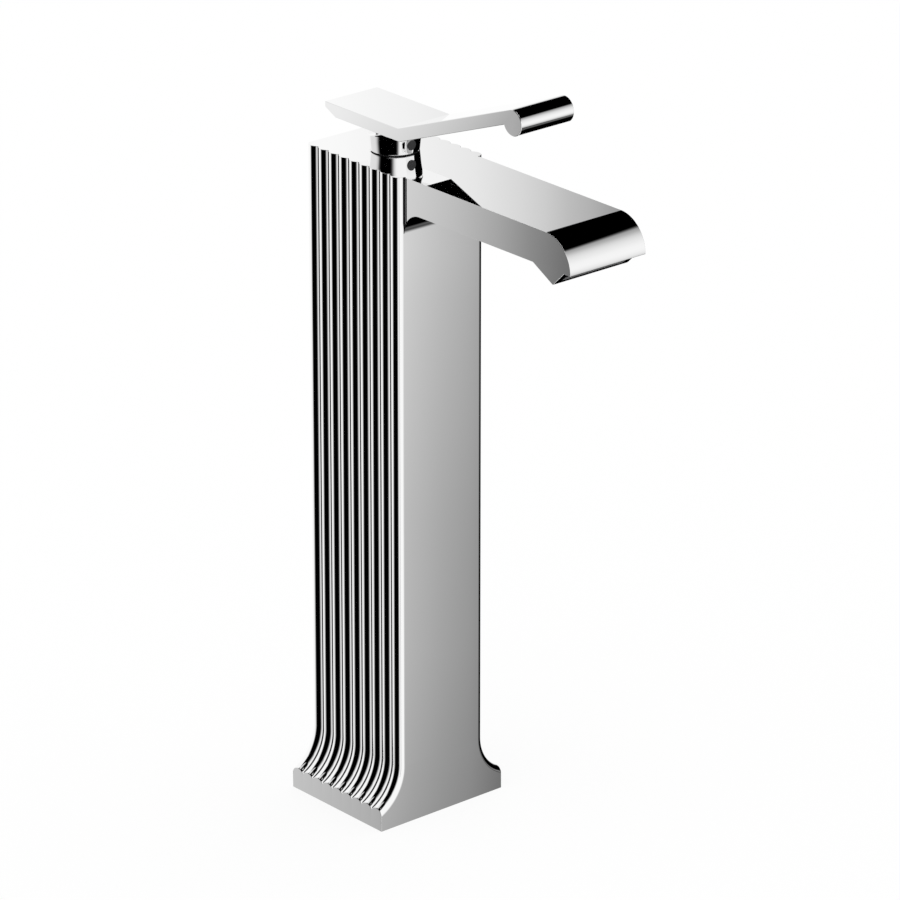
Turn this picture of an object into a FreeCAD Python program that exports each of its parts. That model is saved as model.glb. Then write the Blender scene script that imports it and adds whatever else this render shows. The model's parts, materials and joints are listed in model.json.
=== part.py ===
"""Basin mixer tap: a tall reeded column with a slab spout, a lever on top and a ceramic valve inside.

Millimetres, +Z up. The spout points to -Y, and +X is the right-hand side seen from the front.
The origin is the middle of the underside that stands on the deck.
"""
import FreeCAD, Part
import math
import os

V = FreeCAD.Vector

# Column, its reeded sides and its flared plinth
COLUMN_HEIGHT = 300.0
COLUMN_DEPTH = 61.2
COLUMN_WALL = 4.0
CREST_WIDTH = 48.2
REED_SPACING = 6.8
REED_HEIGHT = 1.14
REED_END_LAND = 0.45
EDGE_RADIUS = 2.4
PLINTH_WIDTH = 69.5
FLARE_START = 27.6
FLARE_RADIUS = 21.5

# Spout slab, its rounded end and its slanting outlet
SPOUT_WIDTH = 41.6
SPOUT_THICKNESS = 15.2
SPOUT_REACH = 135.5
LIP_DEPTH = 4.0
OUTLET_RUN = 6.8
OUTLET_DROP = 6.6
NOSE_BACK = 12.3
SPOUT_ROOT_RADIUS = 10.0
CHANNEL_WIDTH = 28.0
CHANNEL_HEIGHT = 7.0
CHANNEL_FLOOR = 3.8
CHANNEL_FRONT_WALL = 14.5

# Outlet insert
INSERT_WIDTH = 33.6
INSERT_BREADTH = 6.0
INSERT_DEPTH = 6.0
INSERT_RECESS = 0.6
INSERT_WALL = 1.1
INSERT_GAP = 0.1
COMB_DEPTH = 4.4
COMB_CELL = 1.4
COMB_RIB = 0.7
OUTLET_SEAL_DEPTH = 1.4
THROAT_WALL = 2.8
THROAT_BREADTH = 3.6

# Lever
LEVER_WIDTH = 29.0
PLATE_RISE = 17.25
PLATE_THICKNESS = 5.77
PLATE_REAR = 28.85
PLATE_FRONT = 19.17
REAR_EDGE = 2.5
REAR_CHAMFER = 6.85
ARM_ANGLE = 20.4
ARM_RUN = 71.0
BAR_DIAMETER = 11.4
BOSS_DIAMETER = 9.6
BOSS_GAP = 1.48
SOCKET_ROOF = 3.67
GRUB_DIAMETER = 2.5

# Collar round the valve neck
COLLAR_TOP_RISE = 7.6
COLLAR_GAP = 1.2
COLLAR_TOP_DIAMETER = 23.0
COLLAR_FOOT_DIAMETER = 21.6
COLLAR_MOUTH_GAP = 0.98
COLLAR_CHAMFER = 0.4
SEAL_SETBACK = 0.4
INDEX_DIAMETER = 4.6
INDEX_RISE = 4.5
INDEX_DEPTH = 1.2
INDEX_PROUD = 0.1

# Valve neck, lever hinge and spindle
NECK_DIAMETER = 17.0
NECK_RISE = 3.2
NECK_WALL = 1.2
PIVOT_RISE = 1.0
PIN_DIAMETER = 2.5
PIN_SHORT = 0.3
SPINDLE_DIAMETER = 6.4
SPINDLE_FLAT = 0.6
SPINDLE_HUB = 7.0
SPINDLE_ARM = 8.5
SPINDLE_ROD = 2.4
SPINDLE_BALL = 3.4
TURRET_WALL = 1.2
TURRET_TOP_RISE = 3.4
TURRET_SLOT = 7.2
TURRET_SLOT_DEPTH = 16.4
TURRET_FLANGE_THICKNESS = 3.8
TURRET_RIB = 1.5
TURRET_RIB_DEPTH = 2.6
LIFT_ANGLE = 20.0

# Ceramic cartridge
HOUSING_DIAMETER = 26.0
HOUSING_WALL = 1.5
HOUSING_ROOF = 3.9
HOUSING_DROP = 8.0
FIXED_DISC_THICKNESS = 4.0
MOVING_DISC_DIAMETER = 19.0
MOVING_DISC_THICKNESS = 4.6
MIXING_DEPTH = 3.0
MIXING_WIDTH = 11.6
MIXING_LENGTH = 8.4
CLOSED_LAP = 0.3
DRIVER_THICKNESS = 3.9
DRIVER_WIDTH = 15.6
DRIVER_LENGTH = 11.0
DRIVER_STALK = 3.6
DRIVER_FORK_WALL = 1.0
DRIVER_FORK_WIDTH = 4.8
DRIVER_FORK_GRIP = 1.2
DRIVER_PEG = 2.4
DRIVER_PEG_SPACING = 10.0
DRIVER_PEG_LENGTH = 1.4
BASE_FLANGE = 2.5
BASE_SPIGOT = 2.5
DISC_INLET_X = 4.2
DISC_INLET_Y = -3.8
DISC_INLET = 4.6
DISC_OUTLET_Y = 5.2
DISC_OUTLET = 6.0
TURRET_SEAL_WIDTH = 1.6
TURRET_SEAL_THICKNESS = 1.6

# Valve body, seat plate and their screws
VALVE_WIDTH = 34.6
VALVE_REAR = 17.0
VALVE_GAP = 0.4
MIXED_BORE = 7.6
MIXED_WALL = 2.5
O_RING_SECTION = 1.8
O_RING_LAND = 0.4
O_RING_EDGE = 0.8
SEAT_THICKNESS = 8.0
GASKET_THICKNESS = 1.0
MIXED_GROOVE = 4.4
MIXED_GROOVE_DEPTH = 4.0
SEAT_SCREW_DIAMETER = 4.0
SEAT_SCREW_HEAD = 6.8
SEAT_SCREW_HEAD_HEIGHT = 3.5
SEAT_SCREW_BITE = 11.0
SEAT_SCREW_EDGE = 3.3

# Risers and inlet block
RISER_DIAMETER = 10.0
RISER_WALL = 1.0
RISER_X = 7.5
RISER_Y = -4.5
RISER_SOCKET = 5.0
RISER_SEAL_WIDTH = 1.4
RISER_SEAL_THICKNESS = 1.8
INLET_BORE = 9.0
INLET_DEPTH = 10.0
WATERWAY = 6.0
STUD_BORE = 6.8
STUD_DEPTH = 14.0
STUD_Y = 11.5
BLOCK_HEIGHT = 18.0
BLOCK_WIDTH = 30.0
BLOCK_FRONT = 13.0
BLOCK_REAR = 18.0
BASE_PLATE_THICKNESS = 6.0
BASE_PLATE_WIDTH = 55.0
BASE_SCREW_SIDE = 4.0
BASE_SCREW_END = 6.6
BASE_SCREW_DIAMETER = 4.0
BASE_SCREW_HEAD = 7.4
BASE_SCREW_RECESS = 0.3
BASE_SCREW_LENGTH = 14.0
DECK_SEAL_EDGE = 4.5
DECK_SEAL_WIDTH = 2.4
DECK_SEAL_DEPTH = 2.0

# Clearances
RUNNING_GAP = 0.08
PIN_GAP = 0.05
PRESS_GAP = 0.02
THREAD_GAP = 0.05
SEAT_GAP = 0.1
SLIDE_GAP = 0.2
MOVING_GAP = 0.3
HOLE_GAP = 0.2
CUT_EXTRA = 1.0

# Sizes worked out from those above
HALF_DEPTH = COLUMN_DEPTH / 2
PLINTH_HALF = PLINTH_WIDTH / 2
REED_COUNT = round(COLUMN_DEPTH / REED_SPACING)
REED_PITCH = (COLUMN_DEPTH - 2 * REED_END_LAND) / REED_COUNT
REED_RADIUS = (REED_PITCH ** 2 / 4 + REED_HEIGHT ** 2) / (2 * REED_HEIGHT)
REED_CENTRE = CREST_WIDTH / 2 - REED_RADIUS
VALLEY_HALF = CREST_WIDTH / 2 - REED_HEIGHT
END_REED = REED_PITCH / 2 + REED_END_LAND
FACE_HALF = REED_CENTRE + math.sqrt((REED_RADIUS - EDGE_RADIUS) ** 2 - (END_REED - EDGE_RADIUS) ** 2)
CORE_HALF = FACE_HALF - CUT_EXTRA
FLARE_AXIS = VALLEY_HALF + FLARE_RADIUS
CEILING = COLUMN_HEIGHT - SPOUT_THICKNESS
CHANNEL_BOTTOM = CEILING + CHANNEL_FLOOR
OUTLET_TILT = math.degrees(math.atan2(OUTLET_DROP, OUTLET_RUN))
PIVOT_Z = COLUMN_HEIGHT + PIVOT_RISE
PLATE_TOP = COLUMN_HEIGHT + PLATE_RISE
PLATE_BOTTOM = PLATE_TOP - PLATE_THICKNESS
BOSS_FOOT = PIVOT_Z + SPINDLE_HUB / 2 + BOSS_GAP
SOCKET_TOP = PLATE_TOP - SOCKET_ROOF
BALL_Z = PIVOT_Z - SPINDLE_ARM
DISC_TRAVEL = SPINDLE_ARM * math.radians(LIFT_ANGLE)
NECK_BORE = NECK_DIAMETER - 2 * NECK_WALL
TURRET_RADIUS = NECK_BORE / 2 - RUNNING_GAP
TURRET_TOP = COLUMN_HEIGHT + TURRET_TOP_RISE
HOUSING_TOP = CEILING - HOUSING_DROP
ROOF_BOTTOM = HOUSING_TOP - HOUSING_ROOF
TURRET_FLANGE_TOP = ROOF_BOTTOM - MOVING_GAP
TURRET_FLANGE_BOTTOM = TURRET_FLANGE_TOP - TURRET_FLANGE_THICKNESS
DRIVER_TOP = TURRET_FLANGE_BOTTOM - MOVING_GAP
DRIVER_BOTTOM = DRIVER_TOP - DRIVER_THICKNESS
DISC_FACE = DRIVER_BOTTOM - MOVING_DISC_THICKNESS
FIXED_DISC_BOTTOM = DISC_FACE - FIXED_DISC_THICKNESS
HOUSING_BOTTOM = FIXED_DISC_BOTTOM - BASE_SPIGOT
GASKET_TOP = HOUSING_BOTTOM - BASE_FLANGE
SEAT_TOP = GASKET_TOP - GASKET_THICKNESS
SEAT_BOTTOM = SEAT_TOP - SEAT_THICKNESS
HOUSING_INNER = HOUSING_DIAMETER / 2 - HOUSING_WALL
CARTRIDGE_BORE = HOUSING_DIAMETER / 2 + SEAT_GAP
MIXED_Y = -(CARTRIDGE_BORE + MIXED_WALL + MIXED_BORE / 2)
O_RING_INNER = MIXED_BORE / 2 + O_RING_LAND
VALVE_FRONT = O_RING_INNER + O_RING_SECTION + O_RING_EDGE - MIXED_Y
CAVITY_HALF_X = max(VALLEY_HALF - COLUMN_WALL, VALVE_WIDTH / 2 + VALVE_GAP)
CAVITY_HALF_Y = max(HALF_DEPTH - COLUMN_WALL, VALVE_FRONT + VALVE_GAP)
SEAT_SCREW_X = VALVE_WIDTH / 2 - SEAT_SCREW_EDGE
SEAT_SCREW_YS = (-VALVE_FRONT + SEAT_SCREW_EDGE, VALVE_REAR - SEAT_SCREW_EDGE)
RISER_TOP = SEAT_BOTTOM + RISER_SOCKET
RISER_BOTTOM = BLOCK_HEIGHT - RISER_SOCKET
BASE_PLATE_HALF_X = BASE_PLATE_WIDTH / 2
BASE_PLATE_HALF_Y = CAVITY_HALF_Y - SEAT_GAP
BASE_SCREW_X = BASE_PLATE_HALF_X - BASE_SCREW_SIDE
BASE_SCREW_Y = CAVITY_HALF_Y - BASE_SCREW_END
DECK_SEAL_RADIUS = min(BASE_PLATE_HALF_X, BASE_PLATE_HALF_Y) - DECK_SEAL_EDGE


# Helpers for plain solids
def block(x0, x1, y0, y1, z0, z1):
    return Part.makeBox(x1 - x0, y1 - y0, z1 - z0, V(x0, y0, z0))


def centred_block(width, y0, y1, z0, z1):
    return block(-width / 2, width / 2, y0, y1, z0, z1)


def rod(radius, z0, z1, x=0.0, y=0.0):
    return Part.makeCylinder(radius, z1 - z0, V(x, y, z0))


def cross_rod(radius, half_length, y, z):
    return Part.makeCylinder(radius, 2 * half_length, V(-half_length, y, z), V(1, 0, 0))


def ring(outer, inner, z0, z1, x=0.0, y=0.0):
    return rod(outer, z0, z1, x, y).cut(rod(inner, z0, z1, x, y))


def frame_ring(width, breadth, hole_width, hole_breadth, z0, z1):
    outer = centred_block(width, -breadth / 2, breadth / 2, z0, z1)
    return outer.cut(centred_block(hole_width, -hole_breadth / 2, hole_breadth / 2, z0, z1))


def line(start, end):
    return Part.LineSegment(start, end).toShape()


def arc(start, middle, end):
    return Part.Arc(start, middle, end).toShape()


def face_of(edges):
    return Part.Face(Part.Wire(edges))


def polygon_face(points):
    return Part.Face(Part.makePolygon(points + points[:1]))


def mirrored_pair(solid):
    return [solid, solid.mirror(V(0, 0, 0), V(1, 0, 0))]


def four_of(make, half_x, ys):
    return [make(x, y) for x in (-half_x, half_x) for y in ys]


def fused(solids):
    return solids[0].fuse(solids[1:]).removeSplitter()


# Column
def reed_section(inner_x, z):
    """Plan of one side: a strip whose outer edge is a row of convex reeds with rounded ends."""
    edges = []
    lean = math.atan2(FACE_HALF - REED_CENTRE, END_REED - EDGE_RADIUS)
    tangent_x = REED_CENTRE + REED_RADIUS * math.sin(lean)
    tangent_y = HALF_DEPTH - END_REED + REED_RADIUS * math.cos(lean)
    corner_x = FACE_HALF + EDGE_RADIUS * math.sin(lean / 2)
    corner_y = HALF_DEPTH - EDGE_RADIUS + EDGE_RADIUS * math.cos(lean / 2)
    first_y = -HALF_DEPTH + END_REED
    edges.append(line(V(inner_x, -HALF_DEPTH, z), V(FACE_HALF, -HALF_DEPTH, z)))
    edges.append(arc(V(FACE_HALF, -HALF_DEPTH, z), V(corner_x, -corner_y, z), V(tangent_x, -tangent_y, z)))
    for number in range(REED_COUNT):
        middle_y = first_y + number * REED_PITCH
        start = V(VALLEY_HALF, middle_y - REED_PITCH / 2, z)
        crest = V(CREST_WIDTH / 2, middle_y, z)
        end = V(VALLEY_HALF, middle_y + REED_PITCH / 2, z)
        if number == 0:
            start = V(tangent_x, -tangent_y, z)
        if number == REED_COUNT - 1:
            end = V(tangent_x, tangent_y, z)
        edges.append(arc(start, crest, end))
    edges.append(arc(V(tangent_x, tangent_y, z), V(corner_x, corner_y, z), V(FACE_HALF, HALF_DEPTH, z)))
    edges.append(line(V(FACE_HALF, HALF_DEPTH, z), V(inner_x, HALF_DEPTH, z)))
    edges.append(line(V(inner_x, HALF_DEPTH, z), V(inner_x, -HALF_DEPTH, z)))
    return face_of(edges)


def reeded_side():
    """The reeds run straight down the column, then sweep outwards round the flare to the plinth."""
    section = reed_section(CORE_HALF - CUT_EXTRA, FLARE_START)
    straight = section.extrude(V(0, 0, COLUMN_HEIGHT - FLARE_START))
    flare = section.revolve(V(FLARE_AXIS, 0, FLARE_START), V(0, -1, 0), 90)
    room = block(0, PLINTH_HALF, -HALF_DEPTH, HALF_DEPTH, 0, FLARE_START)
    return fused([straight, flare.common(room)])


def column_core():
    """Plain body between the reeded sides: its front outline has the flare and the plinth."""
    radius = FLARE_AXIS - CORE_HALF
    out = FLARE_AXIS - PLINTH_HALF
    plinth_top = FLARE_START - math.sqrt(radius ** 2 - out ** 2)
    middle = (math.pi + math.pi + math.acos(out / radius)) / 2
    middle_x = FLARE_AXIS + radius * math.cos(middle)
    middle_z = FLARE_START + radius * math.sin(middle)
    y = -HALF_DEPTH
    right = [V(PLINTH_HALF, y, 0), V(PLINTH_HALF, y, plinth_top), V(middle_x, y, middle_z)]
    right += [V(CORE_HALF, y, FLARE_START), V(CORE_HALF, y, COLUMN_HEIGHT)]
    left = [V(-point.x, point.y, point.z) for point in right]
    edges = [line(left[0], right[0]), line(right[0], right[1]), arc(right[1], right[2], right[3])]
    edges += [line(right[3], right[4]), line(right[4], left[4]), line(left[4], left[3])]
    edges += [arc(left[3], left[2], left[1]), line(left[1], left[0])]
    return face_of(edges).extrude(V(0, COLUMN_DEPTH, 0))


def spout_slab():
    """Side outline of the slab spout, with its round end, its slanting outlet and its root fillet."""
    x = -SPOUT_WIDTH / 2
    root = -HALF_DEPTH
    inside = root + COLUMN_WALL
    end_y = -SPOUT_REACH + SPOUT_THICKNESS
    half = math.sqrt(0.5)
    lip_y = -SPOUT_REACH + LIP_DEPTH
    tip = V(x, lip_y + OUTLET_RUN, CEILING - OUTLET_DROP)
    bend = V(x, root - SPOUT_ROOT_RADIUS * (1 - half), CEILING - SPOUT_ROOT_RADIUS * (1 - half))
    points = [V(x, inside, COLUMN_HEIGHT), V(x, end_y, COLUMN_HEIGHT), V(x, -SPOUT_REACH, CEILING)]
    points += [V(x, lip_y, CEILING), tip, V(x, tip.y + NOSE_BACK, CEILING)]
    points += [V(x, root - SPOUT_ROOT_RADIUS, CEILING), V(x, root, CEILING - SPOUT_ROOT_RADIUS)]
    points += [V(x, inside, CEILING - SPOUT_ROOT_RADIUS)]
    round_end = V(x, end_y - SPOUT_THICKNESS * half, CEILING + SPOUT_THICKNESS * half)
    edges = [line(points[0], points[1]), arc(points[1], round_end, points[2])]
    edges += [line(points[n], points[n + 1]) for n in range(2, 6)]
    edges += [arc(points[6], bend, points[7]), line(points[7], points[8]), line(points[8], points[0])]
    return face_of(edges).extrude(V(SPOUT_WIDTH, 0, 0))


def at_outlet(solid):
    """Moves a piece drawn about the origin, mouth at z = 0 and depth along +z, to the slanting outlet."""
    middle_y = -SPOUT_REACH + LIP_DEPTH + OUTLET_RUN / 2
    middle_z = CEILING - OUTLET_DROP / 2
    lean = FreeCAD.Rotation(V(1, 0, 0), -OUTLET_TILT)
    solid.Placement = FreeCAD.Placement(V(0, middle_y, middle_z), lean)
    return solid


def outlet_pocket():
    width = INSERT_WIDTH + 2 * INSERT_GAP
    half = INSERT_BREADTH / 2 + INSERT_GAP
    depth = INSERT_RECESS + INSERT_DEPTH + OUTLET_SEAL_DEPTH
    pocket = at_outlet(centred_block(width, -half, half, -CUT_EXTRA, depth))
    half_throat = THROAT_BREADTH / 2
    start = depth - CUT_EXTRA
    end = depth + SPOUT_THICKNESS / 2 - CUT_EXTRA
    throat = centred_block(INSERT_WIDTH - 2 * THROAT_WALL, -half_throat, half_throat, start, end)
    return pocket.fuse(at_outlet(throat))


def body_casting():
    shell = fused([column_core()] + mirrored_pair(reeded_side()) + [spout_slab()])
    cavity = centred_block(2 * CAVITY_HALF_X, -CAVITY_HALF_Y, CAVITY_HALF_Y, -CUT_EXTRA, CEILING)
    plate_half = BASE_PLATE_HALF_X + SEAT_GAP
    recess = block(-plate_half, plate_half, -CAVITY_HALF_Y, CAVITY_HALF_Y, -CUT_EXTRA, BASE_PLATE_THICKNESS)
    neck_hole = rod(NECK_DIAMETER / 2 + HOLE_GAP, CEILING - CUT_EXTRA, COLUMN_HEIGHT + CUT_EXTRA)
    port = rod(MIXED_BORE / 2, CEILING - CUT_EXTRA, CHANNEL_BOTTOM + CUT_EXTRA, 0, MIXED_Y)
    channel_rear = MIXED_Y + MIXED_BORE / 2
    channel_front = -SPOUT_REACH + CHANNEL_FRONT_WALL
    channel_top = CHANNEL_BOTTOM + CHANNEL_HEIGHT
    channel = centred_block(CHANNEL_WIDTH, channel_front, channel_rear, CHANNEL_BOTTOM, channel_top)
    thread = BASE_SCREW_DIAMETER / 2 + PRESS_GAP

    def screw_hole(x, y):
        return rod(thread, BASE_PLATE_THICKNESS - CUT_EXTRA, BASE_SCREW_LENGTH + CUT_EXTRA, x, y)

    holes = four_of(screw_hole, BASE_SCREW_X, (-BASE_SCREW_Y, BASE_SCREW_Y))
    return shell.cut([cavity, recess, neck_hole, port, channel, outlet_pocket()] + holes)


# Outlet insert
def outlet_frame():
    hole_width = INSERT_WIDTH - 2 * INSERT_WALL
    hole_breadth = INSERT_BREADTH - 2 * INSERT_WALL
    top = INSERT_RECESS + INSERT_DEPTH
    return at_outlet(frame_ring(INSERT_WIDTH, INSERT_BREADTH, hole_width, hole_breadth, INSERT_RECESS, top))


def flow_straightener():
    """A comb of square cells that turns the flow into a flat, even stream."""
    width = INSERT_WIDTH - 2 * INSERT_WALL - 2 * INSERT_GAP
    breadth = INSERT_BREADTH - 2 * INSERT_WALL - 2 * INSERT_GAP
    top = INSERT_RECESS + INSERT_DEPTH
    pitch = COMB_CELL + COMB_RIB
    comb = centred_block(width, -breadth / 2, breadth / 2, top - COMB_DEPTH, top)
    columns = int((width - COMB_RIB) / pitch)
    rows = max(1, int((breadth + COMB_RIB) / pitch))
    cells = []
    for column in range(columns):
        for row in range(rows):
            x = (column - (columns - 1) / 2) * pitch - COMB_CELL / 2
            y = (row - (rows - 1) / 2) * pitch - COMB_CELL / 2
            cells.append(block(x, x + COMB_CELL, y, y + COMB_CELL, 0, top + CUT_EXTRA))
    return at_outlet(comb.cut(cells))


def outlet_seal():
    bottom = INSERT_RECESS + INSERT_DEPTH
    top = bottom + OUTLET_SEAL_DEPTH
    hole_width = INSERT_WIDTH - 2 * THROAT_WALL
    return at_outlet(frame_ring(INSERT_WIDTH, INSERT_BREADTH, hole_width, THROAT_BREADTH, bottom, top))


# Lever and its spindle
def socket_rod(gap, z0, z1):
    """Round rod with one flat at the front, on which the grub screw bites."""
    radius = SPINDLE_DIAMETER / 2 + gap
    flat_y = -(radius - SPINDLE_FLAT)
    return rod(radius, z0, z1).cut(centred_block(2 * radius, -radius, flat_y, z0, z1))


def grub_screw_rod(gap):
    start = BOSS_DIAMETER / 2
    depth = start - SPINDLE_DIAMETER / 2 + SPINDLE_FLAT
    z = (BOSS_FOOT + PLATE_BOTTOM) / 2
    return Part.makeCylinder(GRUB_DIAMETER / 2 + gap, depth, V(0, -start, z), V(0, 1, 0))


def lever():
    angle = math.radians(ARM_ANGLE)
    drop = PLATE_THICKNESS
    bend_in = drop * math.tan(angle / 2)
    bar_y = -PLATE_FRONT - ARM_RUN
    bar_z = PLATE_TOP + ARM_RUN * math.tan(angle)
    x = -LEVER_WIDTH / 2
    outline = [V(x, PLATE_REAR, PLATE_TOP), V(x, -PLATE_FRONT, PLATE_TOP), V(x, bar_y, bar_z)]
    outline += [V(x, bar_y - drop * math.sin(angle), bar_z - drop * math.cos(angle))]
    outline += [V(x, -PLATE_FRONT - bend_in, PLATE_BOTTOM)]
    outline += [V(x, PLATE_REAR - REAR_CHAMFER, PLATE_BOTTOM), V(x, PLATE_REAR, PLATE_TOP - REAR_EDGE)]
    strip = polygon_face(outline).extrude(V(LEVER_WIDTH, 0, 0))
    radius = BAR_DIAMETER / 2
    axis_y = bar_y - radius * math.sin(angle)
    axis_z = bar_z - radius * math.cos(angle)
    bar = cross_rod(radius, LEVER_WIDTH / 2, axis_y, axis_z)
    boss = rod(BOSS_DIAMETER / 2, BOSS_FOOT, PLATE_BOTTOM + CUT_EXTRA)
    solid = fused([strip, bar, boss])
    socket = socket_rod(PIN_GAP, BOSS_FOOT - CUT_EXTRA, SOCKET_TOP)
    return solid.cut([socket, grub_screw_rod(PRESS_GAP)])


def lever_grub_screw():
    return grub_screw_rod(0.0)


def spindle():
    """Stem of the lever: a hub on the hinge pin, a shank up into the lever, a ball-ended rod below."""
    hub_half = TURRET_SLOT / 2 - SLIDE_GAP
    hub = cross_rod(SPINDLE_HUB / 2, hub_half, 0, PIVOT_Z)
    shank = socket_rod(0.0, PIVOT_Z, SOCKET_TOP)
    drive_rod = rod(SPINDLE_ROD / 2, BALL_Z, PIVOT_Z)
    ball = Part.makeSphere(SPINDLE_BALL / 2, V(0, 0, BALL_Z))
    pin_hole = cross_rod(PIN_DIAMETER / 2 + PIN_GAP, hub_half + CUT_EXTRA, 0, PIVOT_Z)
    return fused([hub, shank, drive_rod, ball]).cut(pin_hole)


# Turning carrier inside the valve neck
def pivot_pin():
    return cross_rod(PIN_DIAMETER / 2, TURRET_RADIUS - PIN_SHORT, 0, PIVOT_Z)


def turret():
    """Slotted tube that turns with the lever, with a flange whose two ribs guide the disc driver."""
    flange_radius = HOUSING_INNER - MOVING_GAP
    tube = rod(TURRET_RADIUS, TURRET_FLANGE_BOTTOM, TURRET_TOP)
    flange = rod(flange_radius, TURRET_FLANGE_BOTTOM, TURRET_FLANGE_TOP)
    rib_in = DRIVER_WIDTH / 2 + SLIDE_GAP
    rib_bottom = TURRET_FLANGE_BOTTOM - TURRET_RIB_DEPTH
    rib_out = rib_in + TURRET_RIB
    rib = block(rib_in, rib_out, -flange_radius, flange_radius, rib_bottom, TURRET_FLANGE_BOTTOM)
    ribs = mirrored_pair(rib.common(rod(flange_radius, rib_bottom, TURRET_FLANGE_BOTTOM)))
    bore = rod(TURRET_RADIUS - TURRET_WALL, TURRET_FLANGE_BOTTOM - CUT_EXTRA, TURRET_TOP + CUT_EXTRA)
    slot_bottom = TURRET_TOP - TURRET_SLOT_DEPTH
    slot = centred_block(TURRET_SLOT, -NECK_BORE, NECK_BORE, slot_bottom, TURRET_TOP + CUT_EXTRA)
    pin_hole = cross_rod(PIN_DIAMETER / 2 + PRESS_GAP, NECK_BORE, 0, PIVOT_Z)
    return fused([tube, flange] + ribs).cut([bore, slot, pin_hole])


# Ceramic cartridge
def disc_inlets(radius, z0, z1):
    return mirrored_pair(rod(radius, z0, z1, DISC_INLET_X, DISC_INLET_Y))


def peg_places(radius, z0, z1):
    return mirrored_pair(rod(radius, z0, z1, DRIVER_PEG_SPACING / 2, DISC_TRAVEL / 2))


def disc_driver():
    """Slider under the turret: a fork on a stalk takes the spindle's ball, two pegs take the disc."""
    fork_half = SPINDLE_BALL / 2 + MOVING_GAP
    fork_out = fork_half + DRIVER_FORK_WALL
    fork_top = BALL_Z + DRIVER_FORK_GRIP
    fork_floor = BALL_Z - SPINDLE_BALL / 2 - MOVING_GAP
    fork_bottom = fork_floor - 2 * DRIVER_FORK_WALL
    plate_rear = DRIVER_LENGTH / 2 + DISC_TRAVEL / 2
    plate = centred_block(DRIVER_WIDTH, plate_rear - DRIVER_LENGTH, plate_rear, DRIVER_BOTTOM, DRIVER_TOP)
    stalk = centred_block(DRIVER_STALK, -DRIVER_STALK / 2, DRIVER_STALK / 2, DRIVER_TOP, fork_bottom)
    fork = centred_block(DRIVER_FORK_WIDTH, -fork_out, fork_out, fork_bottom, fork_top)
    groove = centred_block(2 * DRIVER_FORK_WIDTH, -fork_half, fork_half, fork_floor, fork_top + CUT_EXTRA)
    pegs = peg_places(DRIVER_PEG / 2, DRIVER_BOTTOM - DRIVER_PEG_LENGTH, DRIVER_BOTTOM + CUT_EXTRA)
    return fused([plate, stalk, fork] + pegs).cut(groove)


def moving_disc():
    """Ceramic disc with a blind mixing hollow below; closed, the hollow stops short of both inlets."""
    middle_y = DISC_TRAVEL / 2
    disc = rod(MOVING_DISC_DIAMETER / 2, DISC_FACE, DRIVER_BOTTOM, 0, middle_y)
    hollow_front = DISC_INLET_Y + DISC_INLET / 2 + CLOSED_LAP
    hollow_rear = hollow_front + MIXING_LENGTH
    hollow_top = DISC_FACE + MIXING_DEPTH
    hollow = centred_block(MIXING_WIDTH, hollow_front, hollow_rear, DISC_FACE - CUT_EXTRA, hollow_top)
    peg_bottom = DRIVER_BOTTOM - DRIVER_PEG_LENGTH - PIN_GAP
    peg_holes = peg_places(DRIVER_PEG / 2 + PIN_GAP, peg_bottom, DRIVER_BOTTOM + CUT_EXTRA)
    return disc.cut([hollow] + peg_holes)


def fixed_disc():
    disc = rod(HOUSING_INNER - SEAT_GAP, FIXED_DISC_BOTTOM, DISC_FACE)
    inlets = disc_inlets(DISC_INLET / 2, FIXED_DISC_BOTTOM, DISC_FACE)
    outlet = rod(DISC_OUTLET / 2, FIXED_DISC_BOTTOM, DISC_FACE, 0, DISC_OUTLET_Y)
    return disc.cut(inlets + [outlet])


def cartridge_base():
    flange = rod(HOUSING_DIAMETER / 2, GASKET_TOP, HOUSING_BOTTOM)
    spigot = rod(HOUSING_INNER - SEAT_GAP, HOUSING_BOTTOM, FIXED_DISC_BOTTOM)
    inlets = disc_inlets(DISC_INLET / 2, GASKET_TOP, FIXED_DISC_BOTTOM)
    outlet = rod(DISC_OUTLET / 2, GASKET_TOP, FIXED_DISC_BOTTOM, 0, DISC_OUTLET_Y)
    return fused([flange, spigot]).cut(inlets + [outlet])


def cartridge_housing():
    outer = rod(HOUSING_DIAMETER / 2, HOUSING_BOTTOM, HOUSING_TOP)
    inside = rod(HOUSING_INNER, HOUSING_BOTTOM, ROOF_BOTTOM)
    hole = rod(NECK_BORE / 2, ROOF_BOTTOM, HOUSING_TOP)
    seal_seat = rod(NECK_BORE / 2 + TURRET_SEAL_WIDTH, HOUSING_TOP - TURRET_SEAL_THICKNESS, HOUSING_TOP)
    return outer.cut([inside, hole, seal_seat])


def turret_seal():
    inner = NECK_BORE / 2
    return ring(inner + TURRET_SEAL_WIDTH, inner, HOUSING_TOP - TURRET_SEAL_THICKNESS, HOUSING_TOP)


# Valve body and seat plate
def valve_footprint(z0, z1):
    return centred_block(VALVE_WIDTH, -VALVE_FRONT, VALVE_REAR, z0, z1)


def seat_screw_rods(radius, z0, z1):
    return four_of(lambda x, y: rod(radius, z0, z1, x, y), SEAT_SCREW_X, SEAT_SCREW_YS)


def outlet_ring_place(z0, z1):
    return ring(O_RING_INNER + O_RING_SECTION, O_RING_INNER, z0, z1, 0, MIXED_Y)


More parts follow.
